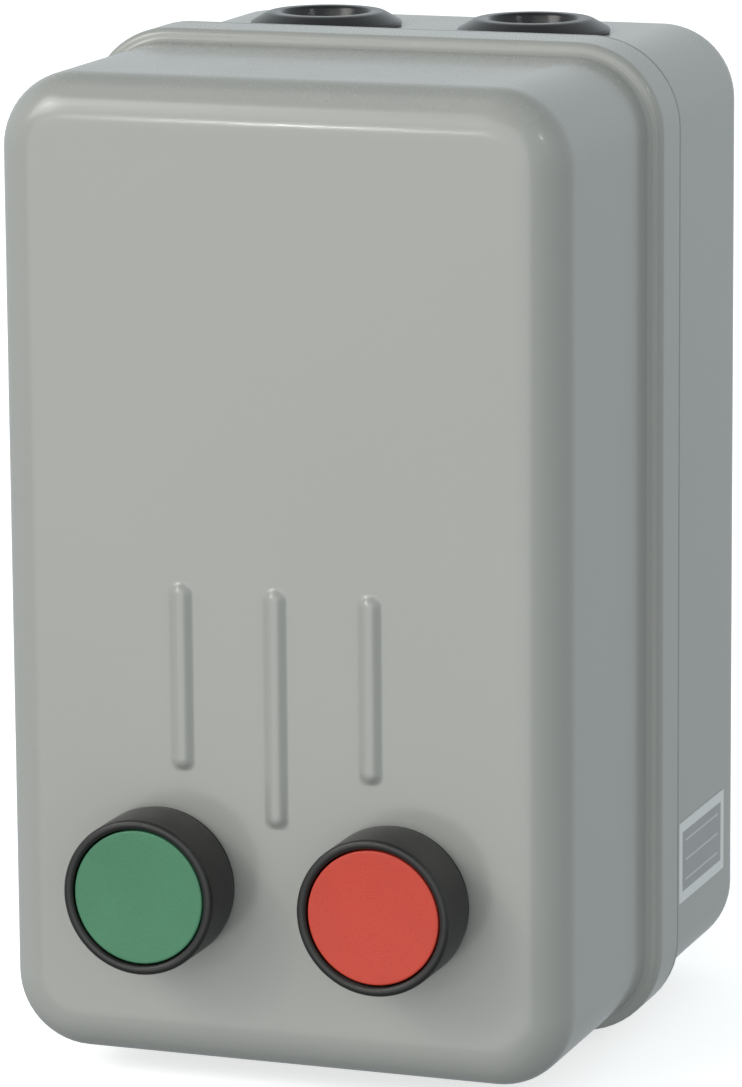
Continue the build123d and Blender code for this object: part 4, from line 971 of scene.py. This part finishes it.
# --- Stage ---
def build_floor():
    """A pale floor that curves up into a backdrop and takes shadows, but doesn't light the box."""
    bm = bmesh.new()
    reach = 6.0
    verts = [bm.verts.new((-reach, -reach, BOTTOM)), bm.verts.new((-reach, reach, BOTTOM))]
    edge = bm.edges.new(verts)
    strip = bmesh.ops.extrude_edge_only(bm, edges=[edge])["geom"]
    moved = [g for g in strip if isinstance(g, bmesh.types.BMVert)]
    bmesh.ops.translate(bm, vec=(2 * reach, 0, 0), verts=moved)
    far = [e for e in bm.edges if all(v.co.y > reach - 0.01 for v in e.verts)]
    bmesh.ops.spin(
        bm, geom=far + list({v for e in far for v in e.verts}), cent=(0, reach, BOTTOM + 1.0),
        axis=(1, 0, 0), angle=math.pi / 2, steps=16, use_merge=False, use_duplicate=False,
    )
    bmesh.ops.recalc_face_normals(bm, faces=bm.faces)
    for face in bm.faces:
        face.smooth = True
    floor = mesh_object(bm, "studio_floor")
    floor.data.materials.append(pale_floor())
    floor.visible_diffuse = False
    floor.visible_glossy = False
    floor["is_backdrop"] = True


def add_softbox(name, place, target, width, height, power, colour):
    """A rectangular area light that looks at a point."""
    lamp = bpy.data.lights.new(name, "AREA")
    lamp.shape = "RECTANGLE"
    lamp.size = width
    lamp.size_y = height
    lamp.energy = power
    lamp.color = colour
    holder = bpy.data.objects.new(name, lamp)
    bpy.context.scene.collection.objects.link(holder)
    holder.location = place
    holder.rotation_mode = "QUATERNION"
    holder.rotation_quaternion = (Vector(target) - Vector(place)).to_track_quat("-Z", "Y")


LAMPS = (  # name, place, target, width, height, share of the lamps' power, colour
    ("key_softbox", (-2.3, -2.5, 2.0), BOX_CENTRE, 2.0, 2.0, 2.3, WARM),
    ("key_core", (-2.3, -2.5, 2.0), BOX_CENTRE, 0.35, 0.35, 0.55, WARM),
    ("front_softbox", (-0.5, -3.2, 0.4), BOX_CENTRE, 3.4, 3.4, 2.2, WARM),
    ("top_softbox", (-0.60, -0.35, 1.8), BOX_CENTRE, 0.8, 0.6, 0.04, (1.0, 0.99, 0.98)),
    ("front_glint", (-0.50, -1.45, 0.16), (0.03, -0.10, 0.07), 0.05, 0.03, 0.040, WARM),
    ("corner_glint", (1.15, -0.62, 0.85), BOX_CENTRE, 0.07, 0.07, 0.03, (1.0, 1.0, 1.0)),
)


def build_lights():
    """A cool sky, dimmer overhead and below, and the lamps."""
    stage = settings().stage
    world = bpy.data.worlds.new("studio_sky")
    world.use_nodes = True
    sky = world.node_tree.nodes["Background"]
    sky.inputs["Color"].default_value = (0.90, 0.97, 1.0, 1.0)
    tree = world.node_tree
    height = axes_of(tree, "Generated")["Z"]
    above = math_node(tree, "MULTIPLY", ramp(tree, height, -0.9, 0.3), 0.62 * stage.sky)
    lower = math_node(tree, "ADD", above, 0.38 * stage.sky)
    overhead = math_node(tree, "MULTIPLY", ramp(tree, height, 0.35, 1.0), 0.62 * stage.sky)
    link(tree, math_node(tree, "SUBTRACT", lower, overhead), sky.inputs["Strength"])
    bpy.context.scene.world = world
    for name, place, target, width, height, share, colour in LAMPS:
        add_softbox(name, place, target, width, height, share * stage.key, colour)


def build_camera():
    """The camera at its angle, height and distance from the box."""
    stage = settings().stage
    azimuth = math.radians(stage.azimuth)
    elevation = math.radians(stage.elevation)
    back = Vector((
        math.sin(azimuth) * math.cos(elevation),
        -math.cos(azimuth) * math.cos(elevation),
        math.sin(elevation),
    ))
    lens = bpy.data.cameras.new("camera")
    lens.sensor_width = 36.0
    lens.lens = stage.lens
    camera = bpy.data.objects.new("camera", lens)
    bpy.context.scene.collection.objects.link(camera)
    camera.rotation_mode = "QUATERNION"
    turn = (-back).to_track_quat("-Z", "Y")
    roll = Matrix.Rotation(math.radians(stage.roll), 3, "Z").to_quaternion()
    camera.rotation_quaternion = turn @ roll
    camera.location = Vector(stage.aim) + back * stage.distance
    bpy.context.scene.camera = camera
    bpy.context.scene.view_settings.view_transform = "Standard"


# --- Operators and panel ---
MATERIALS = {}


class STARTER_OT_materials(bpy.types.Operator):
    """Makes the materials and finishes the CAD nodes that stay visible"""

    bl_idname = "starter.materials"
    bl_label = "Materials and CAD finishes"

    def execute(self, context):
        make_groups()
        MATERIALS.update(make_materials())
        paint_nodes(MATERIALS)
        return {"FINISHED"}


class STARTER_OT_rear_box(bpy.types.Operator):
    """Builds the drawn back box with its stop flange"""

    bl_idname = "starter.rear_box"
    bl_label = "Back box"

    def execute(self, context):
        build_rear_box(MATERIALS)
        return {"FINISHED"}


class STARTER_OT_cover(bpy.types.Operator):
    """Builds the deep-drawn front cover with its ribs"""

    bl_idname = "starter.cover"
    bl_label = "Front cover"

    def execute(self, context):
        build_cover(MATERIALS)
        return {"FINISHED"}


class STARTER_OT_buttons(bpy.types.Operator):
    """Builds the start and stop push buttons"""

    bl_idname = "starter.buttons"
    bl_label = "Push buttons"

    def execute(self, context):
        for kind in ("start", "stop"):
            build_button(kind, MATERIALS)
        return {"FINISHED"}


class STARTER_OT_grommets(bpy.types.Operator):
    """Builds the rubber grommets at the top and the bottom"""

    bl_idname = "starter.grommets"
    bl_label = "Cable grommets"

    def execute(self, context):
        for node in ("top_grommets", "bottom_grommets"):
            build_grommets(node, MATERIALS)
        return {"FINISHED"}


class STARTER_OT_springs(bpy.types.Operator):
    """Builds the small coil springs inside"""

    bl_idname = "starter.springs"
    bl_label = "Small springs"

    def execute(self, context):
        build_small_springs(MATERIALS)
        return {"FINISHED"}


class STARTER_OT_stage(bpy.types.Operator):
    """Builds the floor, the lights and the camera"""

    bl_idname = "starter.stage"
    bl_label = "Stage"

    def execute(self, context):
        build_floor()
        build_lights()
        build_camera()
        return {"FINISHED"}


class StarterSettings(bpy.types.PropertyGroup):
    """All settings of the starter."""

    enclosure: PointerProperty(type=EnclosureSettings, name="Enclosure", description="Box sizes and paint")
    buttons: PointerProperty(type=ButtonSettings, name="Buttons", description="Button colours")
    stage: PointerProperty(type=StageSettings, name="Stage", description="Camera and light")


OPERATORS = (
    STARTER_OT_materials,
    STARTER_OT_rear_box,
    STARTER_OT_cover,
    STARTER_OT_buttons,
    STARTER_OT_grommets,
    STARTER_OT_springs,
    STARTER_OT_stage,
)


class STARTER_PT_panel(bpy.types.Panel):
    """Lists the starter's settings and pieces in the sidebar."""

    bl_idname = "STARTER_PT_panel"
    bl_label = "Motor Starter"
    bl_space_type = "VIEW_3D"
    bl_region_type = "UI"
    bl_category = "Starter"

    def draw(self, context):
        starter = context.scene.starter
        for group in (starter.enclosure, starter.buttons, starter.stage):
            box = self.layout.box()
            for name in group.bl_rna.properties.keys():
                if name not in ("rna_type", "name"):
                    box.prop(group, name)
        for operator in OPERATORS:
            self.layout.operator(operator.bl_idname)


SETTINGS = (EnclosureSettings, ButtonSettings, StageSettings, StarterSettings)
CLASSES = (*SETTINGS, *OPERATORS, STARTER_PT_panel)


def register():
    for cls in CLASSES:
        bpy.utils.register_class(cls)
    bpy.types.Scene.starter = PointerProperty(type=StarterSettings)


def unregister():
    del bpy.types.Scene.starter
    for cls in reversed(CLASSES):
        bpy.utils.unregister_class(cls)


def main():
    register()
    bpy.ops.starter.materials()
    bpy.ops.starter.rear_box()
    bpy.ops.starter.cover()
    bpy.ops.starter.buttons()
    bpy.ops.starter.grommets()
    bpy.ops.starter.springs()
    bpy.ops.starter.stage()
    boxes = {"cad": CAD_BOX, "visual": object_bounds()}
    boxes = {name: [list(corner) for corner in box] for name, box in boxes.items()}


if __name__ == "__main__":
    main()
